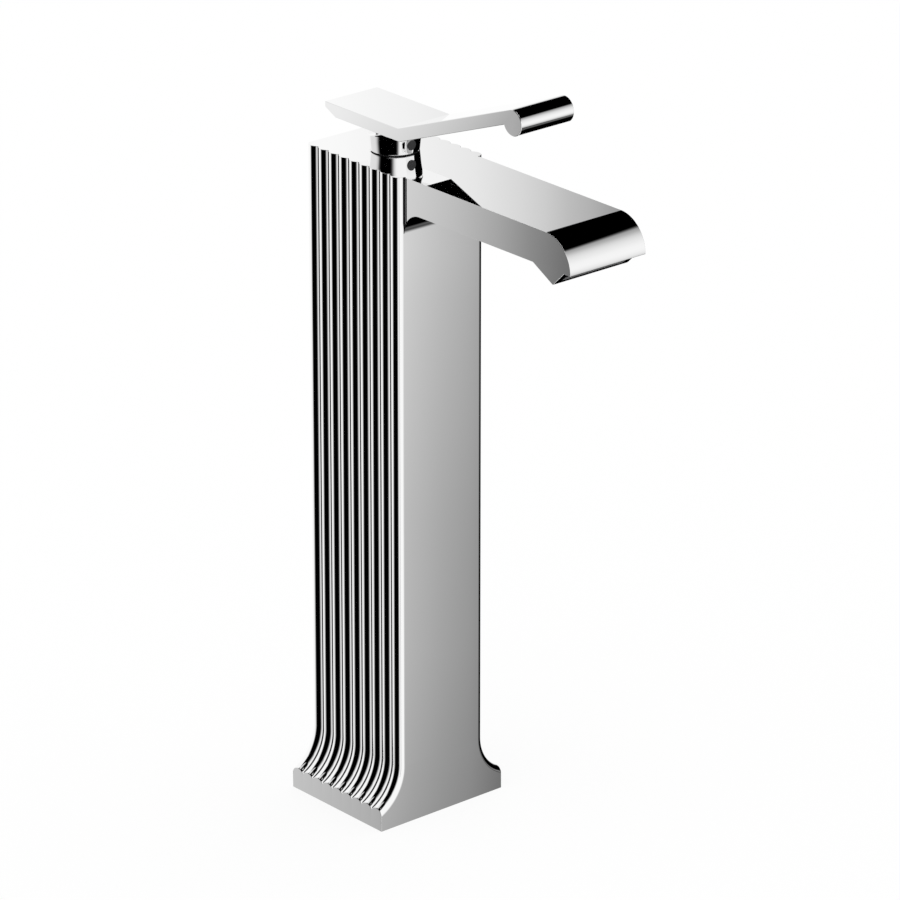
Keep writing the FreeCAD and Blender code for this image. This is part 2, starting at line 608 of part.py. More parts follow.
def valve_body():
    """Brass unit pulled up against the column's ceiling by the collar on its neck."""
    solid = fused([valve_footprint(GASKET_TOP, CEILING),
                   rod(NECK_DIAMETER / 2, CEILING - CUT_EXTRA, COLUMN_HEIGHT + NECK_RISE)])
    neck_bore = rod(NECK_BORE / 2, GASKET_TOP, COLUMN_HEIGHT + NECK_RISE)
    cartridge_bore = rod(CARTRIDGE_BORE, GASKET_TOP, HOUSING_TOP)
    mixed = rod(MIXED_BORE / 2, GASKET_TOP, CEILING, 0, MIXED_Y)
    ring_groove = outlet_ring_place(CEILING - O_RING_SECTION, CEILING)
    threads = seat_screw_rods(SEAT_SCREW_DIAMETER / 2 + PRESS_GAP, GASKET_TOP, GASKET_TOP + SEAT_SCREW_BITE)
    return solid.cut([neck_bore, cartridge_bore, mixed, ring_groove] + threads)


def outlet_o_ring():
    return outlet_ring_place(CEILING - O_RING_SECTION, CEILING)


def mixed_way(z0, z1):
    """Straight groove from the disc's outlet forward to the rising bore."""
    half = MIXED_GROOVE / 2
    run = centred_block(MIXED_GROOVE, MIXED_Y, DISC_OUTLET_Y, z0, z1)
    return run.fuse([rod(half, z0, z1, 0, MIXED_Y), rod(half, z0, z1, 0, DISC_OUTLET_Y)])


def riser_rods(radius, z0, z1):
    return mirrored_pair(rod(radius, z0, z1, RISER_X, RISER_Y))


def inlet_ways(z0, z1):
    """Slanting slots that lead each riser's bore in to the disc's inlet."""
    ways = []
    for side in (-1, 1):
        points = [V(side * DISC_INLET_X, DISC_INLET_Y, z0), V(side * RISER_X, RISER_Y, z0)]
        rods = [rod(DISC_INLET / 2, z0, z1, point.x, point.y) for point in points]
        across = (points[1] - points[0]).normalize().cross(V(0, 0, 1)) * (DISC_INLET / 2)
        corners = [points[0] + across, points[1] + across, points[1] - across, points[0] - across]
        ways += rods + [polygon_face(corners).extrude(V(0, 0, z1 - z0))]
    return ways


def seat_plate():
    plate = valve_footprint(SEAT_BOTTOM, SEAT_TOP)
    sockets = riser_rods(RISER_DIAMETER / 2 + THREAD_GAP, SEAT_BOTTOM, RISER_TOP)
    seal_top = SEAT_BOTTOM + RISER_SEAL_THICKNESS
    seal_seats = riser_rods(RISER_DIAMETER / 2 + RISER_SEAL_WIDTH, SEAT_BOTTOM, seal_top)
    mixed = mixed_way(SEAT_TOP - MIXED_GROOVE_DEPTH, SEAT_TOP)
    holes = seat_screw_rods(SEAT_SCREW_DIAMETER / 2 + HOLE_GAP, SEAT_BOTTOM, SEAT_TOP)
    return plate.cut(sockets + seal_seats + inlet_ways(RISER_TOP - CUT_EXTRA, SEAT_TOP) + [mixed] + holes)


def seat_gasket():
    sheet = valve_footprint(SEAT_TOP, GASKET_TOP)
    outlet = rod(DISC_OUTLET / 2, SEAT_TOP, GASKET_TOP, 0, DISC_OUTLET_Y)
    mixed = rod(MIXED_BORE / 2, SEAT_TOP, GASKET_TOP, 0, MIXED_Y)
    holes = seat_screw_rods(SEAT_SCREW_DIAMETER / 2 + HOLE_GAP, SEAT_TOP, GASKET_TOP)
    return sheet.cut(disc_inlets(DISC_INLET / 2, SEAT_TOP, GASKET_TOP) + [outlet, mixed] + holes)


def seat_screws():
    head_bottom = SEAT_BOTTOM - SEAT_SCREW_HEAD_HEIGHT
    shanks = seat_screw_rods(SEAT_SCREW_DIAMETER / 2, SEAT_BOTTOM, GASKET_TOP + SEAT_SCREW_BITE - PIN_GAP)
    heads = seat_screw_rods(SEAT_SCREW_HEAD / 2, head_bottom, SEAT_BOTTOM)
    return Part.makeCompound([fused([head, shank]) for head, shank in zip(heads, shanks)])


# Collar on the neck
def collar_radius(z):
    foot = COLUMN_HEIGHT + COLLAR_GAP
    top = COLUMN_HEIGHT + COLLAR_TOP_RISE
    share = (z - foot) / (top - foot)
    return (COLLAR_FOOT_DIAMETER + share * (COLLAR_TOP_DIAMETER - COLLAR_FOOT_DIAMETER)) / 2


def index_rod(radius, front_y, back_y):
    start = V(0, front_y, COLUMN_HEIGHT + INDEX_RISE)
    return Part.makeCylinder(radius, back_y - front_y, start, V(0, 1, 0))


def collar():
    """Cone that widens upwards; its thread grips the neck, and its wider mouth lets the boss lean."""
    foot = COLUMN_HEIGHT + COLLAR_GAP
    top = COLUMN_HEIGHT + COLLAR_TOP_RISE
    neck_top = COLUMN_HEIGHT + NECK_RISE
    thread = NECK_DIAMETER / 2 + THREAD_GAP
    mouth = TURRET_RADIUS + COLLAR_MOUTH_GAP
    cut = COLLAR_CHAMFER
    outline = [V(thread, 0, foot), V(collar_radius(foot) - cut, 0, foot)]
    outline += [V(collar_radius(foot + cut), 0, foot + cut), V(collar_radius(top - cut), 0, top - cut)]
    outline += [V(collar_radius(top) - cut, 0, top)]
    outline += [V(mouth, 0, top), V(mouth, 0, neck_top), V(thread, 0, neck_top)]
    solid = polygon_face(outline).revolve(V(0, 0, 0), V(0, 0, 1), 360)
    back_y = -collar_radius(COLUMN_HEIGHT + INDEX_RISE) + INDEX_DEPTH
    return solid.cut(index_rod(INDEX_DIAMETER / 2 + PRESS_GAP, -COLLAR_TOP_DIAMETER, back_y))


def index_plug():
    surface = collar_radius(COLUMN_HEIGHT + INDEX_RISE)
    return index_rod(INDEX_DIAMETER / 2, -surface - INDEX_PROUD, -surface + INDEX_DEPTH)


def collar_seal():
    inner = NECK_DIAMETER / 2 + HOLE_GAP
    outer = COLLAR_FOOT_DIAMETER / 2 - COLLAR_CHAMFER - SEAL_SETBACK
    return ring(outer, inner, COLUMN_HEIGHT, COLUMN_HEIGHT + COLLAR_GAP)


# Risers, inlet block and deck seal
def riser(side):
    inner = RISER_DIAMETER / 2 - RISER_WALL
    return ring(RISER_DIAMETER / 2, inner, RISER_BOTTOM, RISER_TOP, side * RISER_X, RISER_Y)


def riser_seals():
    outer = RISER_DIAMETER / 2 + RISER_SEAL_WIDTH
    inner = RISER_DIAMETER / 2
    seals = []
    for bottom in (SEAT_BOTTOM, BLOCK_HEIGHT - RISER_SEAL_THICKNESS):
        for x in (-RISER_X, RISER_X):
            seals.append(ring(outer, inner, bottom, bottom + RISER_SEAL_THICKNESS, x, RISER_Y))
    return Part.makeCompound(seals)


def countersink(radius_extra, x, y):
    """Countersunk head, flush depth first, then a 45 degree cone down to the shank."""
    head = BASE_SCREW_HEAD / 2 + radius_extra
    shank = BASE_SCREW_DIAMETER / 2 + radius_extra
    return Part.makeCone(head, shank, head - shank, V(x, y, BASE_SCREW_RECESS))


def base_block():
    """Brass plate in the plinth's recess, with a boss for both inlets, both risers and the stud."""
    plate = block(-BASE_PLATE_HALF_X, BASE_PLATE_HALF_X, -BASE_PLATE_HALF_Y, BASE_PLATE_HALF_Y,
                  0, BASE_PLATE_THICKNESS)
    boss = centred_block(BLOCK_WIDTH, -BLOCK_FRONT, BLOCK_REAR, BASE_PLATE_THICKNESS, BLOCK_HEIGHT)
    inlets = riser_rods(INLET_BORE / 2, -CUT_EXTRA, INLET_DEPTH)
    ways = riser_rods(WATERWAY / 2, INLET_DEPTH - CUT_EXTRA, RISER_BOTTOM + CUT_EXTRA)
    sockets = riser_rods(RISER_DIAMETER / 2 + THREAD_GAP, RISER_BOTTOM, BLOCK_HEIGHT + CUT_EXTRA)
    seal_bottom = BLOCK_HEIGHT - RISER_SEAL_THICKNESS
    seal_seats = riser_rods(RISER_DIAMETER / 2 + RISER_SEAL_WIDTH, seal_bottom, BLOCK_HEIGHT + CUT_EXTRA)
    stud = rod(STUD_BORE / 2, -CUT_EXTRA, STUD_DEPTH, 0, STUD_Y)
    groove = deck_seal_ring(-CUT_EXTRA, DECK_SEAL_DEPTH)

    def screw_hole(x, y):
        shank = rod(BASE_SCREW_DIAMETER / 2 + HOLE_GAP, 0, BASE_PLATE_THICKNESS, x, y)
        mouth = rod(BASE_SCREW_HEAD / 2 + HOLE_GAP, -CUT_EXTRA, BASE_SCREW_RECESS, x, y)
        return fused([shank, mouth, countersink(HOLE_GAP, x, y)])

    holes = four_of(screw_hole, BASE_SCREW_X, (-BASE_SCREW_Y, BASE_SCREW_Y))
    return fused([plate, boss]).cut(inlets + ways + sockets + seal_seats + [stud, groove] + holes)


def base_screws():
    def screw(x, y):
        shank = rod(BASE_SCREW_DIAMETER / 2, BASE_SCREW_RECESS, BASE_SCREW_LENGTH, x, y)
        return fused([countersink(0.0, x, y), shank])

    return Part.makeCompound(four_of(screw, BASE_SCREW_X, (-BASE_SCREW_Y, BASE_SCREW_Y)))


def deck_seal_ring(z0, z1):
    half = DECK_SEAL_WIDTH / 2
    return ring(DECK_SEAL_RADIUS + half, DECK_SEAL_RADIUS - half, z0, z1)


def base_gasket():
    return deck_seal_ring(0, DECK_SEAL_DEPTH)


PIECES = {
    "body_casting": body_casting,
    "outlet_frame": outlet_frame,
    "flow_straightener": flow_straightener,
    "outlet_seal": outlet_seal,
    "lever": lever,
    "lever_grub_screw": lever_grub_screw,
    "spindle": spindle,
    "pivot_pin": pivot_pin,
    "turret": turret,
    "disc_driver": disc_driver,
    "moving_disc": moving_disc,
    "fixed_disc": fixed_disc,
    "cartridge_base": cartridge_base,
    "cartridge_housing": cartridge_housing,
    "turret_seal": turret_seal,
    "valve_body": valve_body,
    "outlet_o_ring": outlet_o_ring,
    "seat_plate": seat_plate,
    "seat_gasket": seat_gasket,
    "seat_screws": seat_screws,
    "collar": collar,
    "index_plug": index_plug,
    "collar_seal": collar_seal,
    "hot_riser": lambda: riser(-1),
    "cold_riser": lambda: riser(1),
    "riser_seals": riser_seals,
    "base_block": base_block,
    "base_screws": base_screws,
    "base_gasket": base_gasket,
}

os.makedirs("parts", exist_ok=True)
for name, make in PIECES.items():
    shape = make()
    shape.exportStep(f"parts/{name}.step")
    print(f"{name}: {len(shape.Solids)} solid, {shape.Volume / 1000:.2f} cm3, valid {shape.isValid()}")
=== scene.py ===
# %% [markdown]
# # A chromed basin mixer, dressed for its portrait
# The construction is already there: a column with reeded sides, a slab spout, a lever and a ceramic valve,
# each at its real size. This lesson gives every surface its finish, and builds finer meshes for the three
# polished pieces, because chrome shows each facet of a mesh. First the construction is loaded as a fixed
# frame, in metres. Nothing that follows may grow past it.

# %% Load the construction
import bpy
import bmesh
import json
import math
from mathutils import Matrix, Vector


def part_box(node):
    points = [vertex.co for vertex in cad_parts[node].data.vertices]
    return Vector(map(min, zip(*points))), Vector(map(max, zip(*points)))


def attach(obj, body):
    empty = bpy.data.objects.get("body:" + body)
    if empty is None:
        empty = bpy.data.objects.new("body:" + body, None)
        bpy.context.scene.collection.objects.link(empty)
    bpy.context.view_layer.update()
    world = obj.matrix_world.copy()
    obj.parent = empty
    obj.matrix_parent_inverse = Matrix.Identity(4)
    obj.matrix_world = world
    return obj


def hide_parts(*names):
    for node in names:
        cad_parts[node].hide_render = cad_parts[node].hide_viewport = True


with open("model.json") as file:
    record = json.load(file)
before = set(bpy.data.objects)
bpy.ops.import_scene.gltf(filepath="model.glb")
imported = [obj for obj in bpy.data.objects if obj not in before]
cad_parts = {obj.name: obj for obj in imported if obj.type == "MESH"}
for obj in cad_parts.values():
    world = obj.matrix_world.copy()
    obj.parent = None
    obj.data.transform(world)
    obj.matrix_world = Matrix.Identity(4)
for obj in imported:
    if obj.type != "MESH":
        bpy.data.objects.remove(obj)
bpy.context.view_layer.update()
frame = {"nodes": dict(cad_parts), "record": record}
nodes = frame["nodes"]

# %% [markdown]
# ## Units and colours
# Lengths below are written in millimetres, as on a drawing, and turned to metres where a mesh is made.
# Colours are written as sRGB hex, as a colour picker shows them. Blender's sockets take linear light, so
# one function turns one into the other.

# %% Two small converters
MM = 0.001


def linear(colour):
    """sRGB hex to the linear RGBA that sockets take."""
    parts = [int(colour[i:i + 2], 16) / 255 for i in (1, 3, 5)]
    light = [c / 12.92 if c <= 0.04045 else ((c + 0.055) / 1.055) ** 2.4 for c in parts]
    return (*light, 1.0)


print("middle grey #808080 is", round(linear("#808080")[0], 3), "in linear light")

# %% [markdown]
# ## Camera
# The tap was photographed from its front left, a little above, with a long lens that keeps the verticals
# almost parallel. The angles and the distance were found by fitting the column's edges to the picture, so
# the camera is placed by them: a point to look at, a direction and a distance.

# %% Place the camera
LOOK_AT = Vector((17.86, -15.37, 161.74)) * MM
VIEW_AZIMUTH = math.radians(40.709)
VIEW_ELEVATION = math.radians(22.003)
VIEW_DISTANCE = 2472.8 * MM
LENS_MM = 227.6
SENSOR_MM = 36.0

level = math.cos(VIEW_ELEVATION)
aside, ahead = math.sin(VIEW_AZIMUTH) * level, math.cos(VIEW_AZIMUTH) * level
towards = Vector((-aside, -ahead, math.sin(VIEW_ELEVATION)))
camera_data = bpy.data.cameras.new("camera")
camera_data.lens = LENS_MM
camera_data.sensor_width = SENSOR_MM
camera = bpy.data.objects.new("camera", camera_data)
camera.location = LOOK_AT + towards * VIEW_DISTANCE
camera.rotation_euler = (-towards).to_track_quat("-Z", "Y").to_euler()
bpy.context.scene.collection.objects.link(camera)
bpy.context.scene.camera = camera
bpy.context.scene.view_settings.view_transform = "Standard"
print("camera at", [round(v, 3) for v in camera.location])

# %% [markdown]
# ## One helper for shader nodes
# A material is a handful of nodes joined by links. This one function adds a node, sets its sockets and
# settings, and takes links as sockets of other nodes, so that each material below reads like a recipe.

# %% Add a node with its settings and links


def add_node(tree, kind, settings=None, **inputs):
    """Inputs go by name, with _ for a space, or by number as i_0; an output socket is linked."""
    node = tree.nodes.new("ShaderNode" + kind)
    for name, value in (settings or {}).items():
        setattr(node, name, value)
    for name, value in inputs.items():
        key = name.replace("_", " ") if not name.startswith("i_") else int(name[2:])
        if isinstance(value, bpy.types.NodeSocket):
            tree.links.new(value, node.inputs[key])
        else:
            node.inputs[key].default_value = value
    return node


def empty_tree(owner):
    owner.use_nodes = True
    owner.node_tree.nodes.clear()
    return owner.node_tree


# %% [markdown]
# ## White surround
# The tap stands in a white tent, so the world is one even white of strength 1. It is the background that
# the camera sees, the white that the chrome mirrors between the panels, and the light on the plastics and
# the floor. A picture of a real studio could stand here too, but an even white shows what each panel does.

# %% World
SURROUND = "#FFFFFF"
SURROUND_STRENGTH = 1.0

world = bpy.data.worlds.new("white_tent")
bpy.context.scene.world = world
tree = empty_tree(world)
background = add_node(tree, "Background", Color=linear(SURROUND), Strength=SURROUND_STRENGTH)
add_node(tree, "OutputWorld", Surface=background.outputs[0])
print("world:", world.name, "strength", SURROUND_STRENGTH)

# %% [markdown]
# ## Paint for the studio panels
# Chrome has no colour of its own: it shows what stands round it. The dark stripes on the reeds are black
# flags left and right of the tap, and the soft grey of its flat faces is where a flag fades into the white.
# Area lights would be mirrored as well, but a panel whose greys are given by angle can be moved a degree
# at a time until each face has its tone. One ramp across and one ramp up, multiplied, paint a panel.

# %% Grey across times grey up
EVEN = 1.0
PLACE_MAP = "place"


def panel_paint(name, across, up):
    """Glowing paint from two lists of (degrees, linear grey)."""
    paint = bpy.data.materials.new(name + "_paint")
    tree = empty_tree(paint)
    place = add_node(tree, "UVMap", {"uv_map": PLACE_MAP})
    parts = add_node(tree, "SeparateXYZ", Vector=place.outputs[0])
    greys = []
    for axis, stops in (("X", across), ("Y", up)):
        ramp = add_node(tree, "ValToRGB", Fac=parts.outputs[axis])
        elements = ramp.color_ramp.elements
        while len(elements) < len(stops):
            elements.new(0.5)
        low, high = stops[0][0], stops[-1][0]
        for element, (degrees, grey) in zip(elements, stops):
            element.position = (degrees - low) / (high - low)
            element.color = (grey, grey, grey, 1.0)
        greys.append(ramp.outputs["Color"])
    both = add_node(tree, "Mix", {"data_type": "RGBA", "blend_type": "MULTIPLY"},
                    i_0=1.0, i_6=greys[0], i_7=greys[1])
    light = add_node(tree, "Emission", Color=both.outputs[2], Strength=1.0)
    add_node(tree, "OutputMaterial", Surface=light.outputs[0])
    paint.cycles.emission_sampling = "NONE"
    return paint


# %% [markdown]
# ## A panel in the room
# Each panel is a patch of a sphere round the tap, given by its bearings and heights in degrees, and its
# sides may lean. Bearing 0 is the tap's left side (-X), 90 its front (-Y), 180 its right side and -90 its
# back. A sphere of 1.5 m is near enough for a tone to slide along the spout. Each new panel lies a little
# inside the last, so it covers what it overlaps. The panels are only there for mirrored rays: the camera,
# diffuse light and shadows pass through them.

# %% Build a panel
PANEL_RADIUS = 1.5
PANEL_LAYER = 0.002
PANEL_STEP = 3.0
PANEL_CENTRE = Vector((0.0, -0.03, 0.17))
panels = []


def direction(bearing, height):
    b, h = math.radians(bearing), math.radians(height)
    return Vector((-math.cos(b) * math.cos(h), -math.sin(b) * math.cos(h), math.sin(h)))


def panel_mesh(name, across, up, lean, centre, radius):
    """Quads over the panel's bearings and heights, with the share of each kept as a UV."""
    left, right, bottom, top = across[0][0], across[-1][0], up[0][0], up[-1][0]
    columns = max(2, math.ceil((right - left) / PANEL_STEP))
    rows = max(2, math.ceil((top - bottom) / PANEL_STEP))
    points, faces, places = [], [], []
    for row in range(rows + 1):
        v = row / rows
        start, end = left + lean[0] * v, right + lean[1] * v
        for column in range(columns + 1):
            u = column / columns
            bearing, height = start + (end - start) * u, bottom + (top - bottom) * v
            points.append(centre + direction(bearing, height) * radius)
            places.append((u, v))
    for row in range(rows):
        for column in range(columns):
            first = row * (columns + 1) + column
            faces.append((first, first + 1, first + columns + 2, first + columns + 1))
    mesh = bpy.data.meshes.new(name)
    mesh.from_pydata(points, [], faces)
    uv = mesh.uv_layers.new(name=PLACE_MAP)
    for loop in mesh.loops:
        uv.data[loop.index].uv = places[loop.vertex_index]
    return mesh


def panel(name, across, up, lean=(0.0, 0.0), centre=PANEL_CENTRE, reach=PANEL_RADIUS):
    """Hangs a painted patch; lean is how far its two sides move from bottom to top."""
    mesh = panel_mesh(name, across, up, lean, centre, reach - PANEL_LAYER * len(panels))
    mesh.materials.append(panel_paint(name, across, up))
    card = bpy.data.objects.new(name, mesh)
    bpy.context.scene.collection.objects.link(card)
    for ray in ("camera", "diffuse", "shadow", "transmission"):
        setattr(card, "visible_" + ray, False)
    panels.append(card)


print("panels hang", PANEL_RADIUS, "m from", list(PANEL_CENTRE))

# %% [markdown]
# ## Flags on the left
# A reed is a convex mirror and shows half the room, so the left flag becomes the black stripe on each.
# The camera looks down by 22 degrees, and an upright face mirrors what lies as far below level. So the
# flat left faces of spout, lever and plinth look to the rear, into a fade from white to black, and their
# place in that fade sets their grey. The upper flag leans outwards: the reeds find it where they swing
# out over the flare and tilt up.

# %% Left flag and its fade
panel("rear_left_fade",
      [(-62, 1.0), (-51.4, 0.91), (-49.1, 0.73), (-47.7, 0.59), (-46.6, 0.45), (-45.7, 0.31), (-44.8, 0.21),
       (-43, 0.09), (-40, 0.02), (-36, 0.0)],
      [(-48, 0.4), (-30.5, 0.62), (-20, 0.80), (-15.5, 0.90), (-12, 1.0), (30, 1.0)])
panel("left_flag",
      [(-38, 0.0), (11, 0.0), (14, 0.05), (17, 0.17), (20, 0.36), (23, 0.55), (27, 0.76), (33, 0.93),
       (42, 1.0)],
      [(-48, EVEN), (30, EVEN)])
panel("left_flag_upper",
      [(-50, 1.0), (-44, 0.5), (-40, 0.0), (11, 0.0), (17, 0.08), (23, 0.3), (31, 0.7), (42, 1.0)],
      [(28, EVEN), (75, EVEN)], lean=(-50.0, 14.0))
print("on the left:", [card.name for card in panels])

# %% [markdown]
# ## Panels in front
# A narrow dark slot is where the camera looks in through the tent: the rounded corner of the column shows
# it as a fine dark line. The column's flat front mirrors one place low in front on the right, where a white
# panel fades sideways and downwards, so the grey slides down the column. The panel above it stands only a
# third of a metre from the spout, because the spout's round end shows a broader fade than a far one gives.

# %% Camera slot and front panels
SPOUT_PLACE = Vector((0.0, -0.12, 0.285))
FRONT_REACH = 0.33

panel("camera_slot", [(47.2, 1.0), (48.0, 0.0), (50.6, 0.0), (51.4, 1.0)], [(-34, EVEN), (-12, EVEN)])
panel("front_panel_low",
      [(110, 1.0), (126, 0.97), (128.5, 0.92), (129.7, 0.72), (130.6, 0.60), (131.5, 0.50), (132.6, 0.30),
       (134, 0.12), (137, 0.12), (139.5, 0.28), (142, 0.28), (148, 0.0)],
      [(-48, 0.0), (-41, 0.10), (-36, 0.30), (-31.2, 0.52), (-27.3, 0.645), (-23.8, 0.70), (-21.2, 0.775),
       (-18, 0.86), (-16.7, 0.92), (-12, 0.97), (1, 1.0)])
panel("front_panel_high", [(104, EVEN), (158, EVEN)],
      [(-24, 0.30), (-22, 0.45), (-18.4, 0.66), (-12.3, 0.87), (-6, 0.95), (-1, 0.97), (6.8, 0.96),
       (11.4, 0.93), (15.9, 0.89), (20.3, 0.85), (24.7, 0.79), (28.9, 0.71), (32.9, 0.59), (36.7, 0.46),
       (40.3, 0.37), (43.6, 0.05), (45, 0.0), (60, 0.0)],
      centre=SPOUT_PLACE, reach=FRONT_REACH)
print("with those in front:", len(panels), "panels")

# %% [markdown]
# ## Flag on the right
# The flat tops of spout and column look up to the rear on the right, to the edge of this flag, and its fade
# sets their tone. It is hung in four heights whose edges differ. The one at eye level has the fine fade for
# the tops, the next two below end where the column's right edge and the flare need their black, and the
# upper one is the black band on the spout's round end.

# %% Right flag in four heights
panel("right_flag",
      [(146, 0.0), (219, 0.0), (222, 0.10), (224, 0.30), (225.1, 0.47), (225.7, 0.53), (226.4, 0.64),
       (227.1, 0.72), (228.5, 0.85), (230.2, 0.93), (232.5, 1.0)],
      [(-4, EVEN), (30, EVEN)])
panel("right_flag_middle", [(146, 0.0), (200, 0.0), (212, 0.8), (220, 1.0)], [(-34, EVEN), (-4, EVEN)])
panel("right_flag_low", [(146, 0.0), (222, 0.0), (232, 1.0)], [(-58, EVEN), (-34, EVEN)])
panel("right_flag_upper", [(146, 0.0), (224.2, 0.0), (226, 0.12), (228.5, 0.6), (234, 1.0)],
      [(26, EVEN), (62, EVEN)])
print("with those on the right:", len(panels), "panels")

# %% [markdown]
# ## Cards by the collar
# The small collar shows two bands of stripes, one for its cone and one for its spreading rim, and they
# don't line up. Two cards close to it, one above the other, give each band its own. They stand above
# level, so the upright faces, which mirror what lies below level, don't find them.

# %% Two near cards
COLLAR_PLACE = Vector((0.0, 0.0, 0.3))
CARD_REACH = 0.24

panel("collar_card_high",
      [(-80, 0.84), (-45, 0.80), (-38, 0.66), (-32, 0.43), (-26, 0.12), (-21, 0.0), (57, 0.0), (62, 0.06),
       (66, 0.35), (69, 0.65), (74, 1.0)],
      [(17, EVEN), (38, EVEN)], centre=COLLAR_PLACE, reach=CARD_REACH)
panel("collar_card_low",
      [(-80, 0.84), (-38, 0.80), (-31, 0.68), (-25, 0.50), (-19, 0.11), (-14, 0.01), (-9, 0.0), (33, 0.0),
       (38, 0.05), (43, 0.30), (49, 0.70), (56, 0.95), (62, 1.0)],
      [(2, EVEN), (17, EVEN)], centre=COLLAR_PLACE, reach=CARD_REACH)
print("all panels:", [card.name for card in panels])

# %% [markdown]
# ## Floor
# A pale floor carries the tap. Seen by the camera it is as white as the surround, with a little of its own
# diffuse shading left in it, so that a faint shadow remains where the plinth stands. The chrome's panels
# take its place in the mirror, so it is hidden from mirrored rays.

# %% Floor
FLOOR_WHITE = "#FFFFFF"
FLOOR_SIZE = 12.0
FLOOR_DROP = 0.05 * MM
FLOOR_GLOW = 0.86

floor_mesh = bpy.data.meshes.new("floor")
half = FLOOR_SIZE / 2
corners = [(-half, -half), (half, -half), (half, half), (-half, half)]
floor_mesh.from_pydata([(x, y, -FLOOR_DROP) for x, y in corners], [], [(0, 1, 2, 3)])
paint = bpy.data.materials.new("matt_white_floor")
tree = empty_tree(paint)
matt = add_node(tree, "BsdfDiffuse", Color=linear(FLOOR_WHITE))
glow = add_node(tree, "Emission", Color=linear(FLOOR_WHITE), Strength=1.0)
mixed = add_node(tree, "MixShader", Fac=FLOOR_GLOW, i_1=matt.outputs[0], i_2=glow.outputs[0])
add_node(tree, "OutputMaterial", Surface=mixed.outputs[0])
paint.cycles.emission_sampling = "NONE"
floor_mesh.materials.append(paint)
floor = bpy.data.objects.new("floor", floor_mesh)
floor.visible_glossy = False
bpy.context.scene.collection.objects.link(floor)
print("floor:", FLOOR_SIZE, "m square")

# %% [markdown]
# ## Pattern sizes
# Each grain, scratch or ripple below is given in millimetres. A texture's scale counts repeats in a metre,
# so one function turns a size into a scale. The texture space is the object's own, which here is the
# construction's frame, so a pattern stays on its piece when the piece moves. Noise gathers round 0.5, so
# the part from 0.3 to 0.7 is what gets spread over a range of roughness.

# %% Scale of a pattern, and a material's start
NOISE_SPAN = (0.3, 0.7)


def per_metre(size_mm):
    """Texture scale at which one grain is size_mm across."""
    return 1.0 / (size_mm * MM)


def stretched_place(tree, stretch=(1.0, 1.0, 1.0)):
    """Object coordinates, multiplied per axis: a small number draws the grain out along that axis."""
    place = add_node(tree, "TexCoord")
    return add_node(tree, "VectorMath", {"operation": "MULTIPLY"},
                    i_0=place.outputs["Object"], i_1=stretch).outputs[0]


def new_material(name):
    made = bpy.data.materials.new(name)
    return made, empty_tree(made)


print("a 0.5 mm grain has scale", per_metre(0.5))

# %% [markdown]
# ## Painted shade in the valleys and inner corners
# The castings are brass, ground and buffed, then plated with nickel and a skin of chromium a fraction of a
# micron thick. The bottoms of the valleys between the reeds get painted shade: a near-black colour and a
# rougher mirror, for the light the mirror loses there, which draws the fine lines down the column. The
# mesh carries that as a value called unpolished. The upright inner corners where the spout leaves
# the column get the same painted shade. The shader finds those by their place: close to the corner in
# plan, and above the root fillet's foot.

# %% Chrome: the painted shade
VALLEY_EDGE = (0.2, 0.6)
# Painted shade in the spout's upright inner corners: near the corner in plan and above the fillet's foot,
# the chrome is painted near-black, fading out over about a tenth of a millimetre.
ROOT_CORNER = Vector((20.8, -31.1, 0.0)) * MM
ROOT_FOOT = 274.8 * MM
ROOT_SHADE_FULL = 0.48 * MM
ROOT_SHADE_END = 0.6 * MM

chrome, tree = new_material("polished_chrome_plate")
# Painted shade: the value the mesh carries in the valley bottoms, where the chrome is painted near-black.
painted_shade = add_node(tree, "Attribute", {"attribute_name": "unpolished"})
valley = add_node(tree, "MapRange", {"interpolation_type": "SMOOTHSTEP"},
                  Value=painted_shade.outputs["Fac"], From_Min=VALLEY_EDGE[0], From_Max=VALLEY_EDGE[1])
spot = add_node(tree, "SeparateXYZ", Vector=stretched_place(tree))
across = add_node(tree, "Math", {"operation": "ABSOLUTE"}, i_0=spot.outputs["X"])
plan = add_node(tree, "CombineXYZ", X=across.outputs[0], Y=spot.outputs["Y"])
away = add_node(tree, "VectorMath", {"operation": "DISTANCE"}, i_0=plan.outputs[0], i_1=ROOT_CORNER)
near = add_node(tree, "MapRange", Value=away.outputs["Value"],
                From_Min=ROOT_SHADE_FULL, From_Max=ROOT_SHADE_END, To_Min=1.0, To_Max=0.0)
high = add_node(tree, "Math", {"operation": "GREATER_THAN"}, i_0=spot.outputs["Z"], i_1=ROOT_FOOT)
root = add_node(tree, "Math", {"operation": "MULTIPLY"}, i_0=near.outputs[0], i_1=high.outputs[0])
all_painted_shade = add_node(tree, "Math", {"operation": "MAXIMUM"}, i_0=valley.outputs[0], i_1=root.outputs[0])
print("dull within", ROOT_SHADE_FULL / MM, "mm of the spout's inner corners")

# %% [markdown]
# ## Polished chrome plate
# The eye gets a neutral mirror, close to white where it faces the white tent. Buffing leaves a ripple a few
# millimetres long that is almost too low to see, and a haze in patches. So one noise steers the roughness
# and a finer one gives a very slight bump. Both are drawn out along the column, the way the wheel ran.

# %% Chrome: the mirror
CHROME = "#F8F8F8"
CHROME_PAINTED_SHADE = "#1C1C1D"
CHROME_SHINE = (0.012, 0.03)
PAINTED_SHADE_ROUGHNESS = 0.3
WHEEL_STRETCH = (1.0, 1.0, 0.4)
CHROME_HAZE_MM = 28.0
CHROME_RIPPLE_MM = 9.0
RIPPLE_STRENGTH = 0.02
RIPPLE_HEIGHT = 0.02 * MM

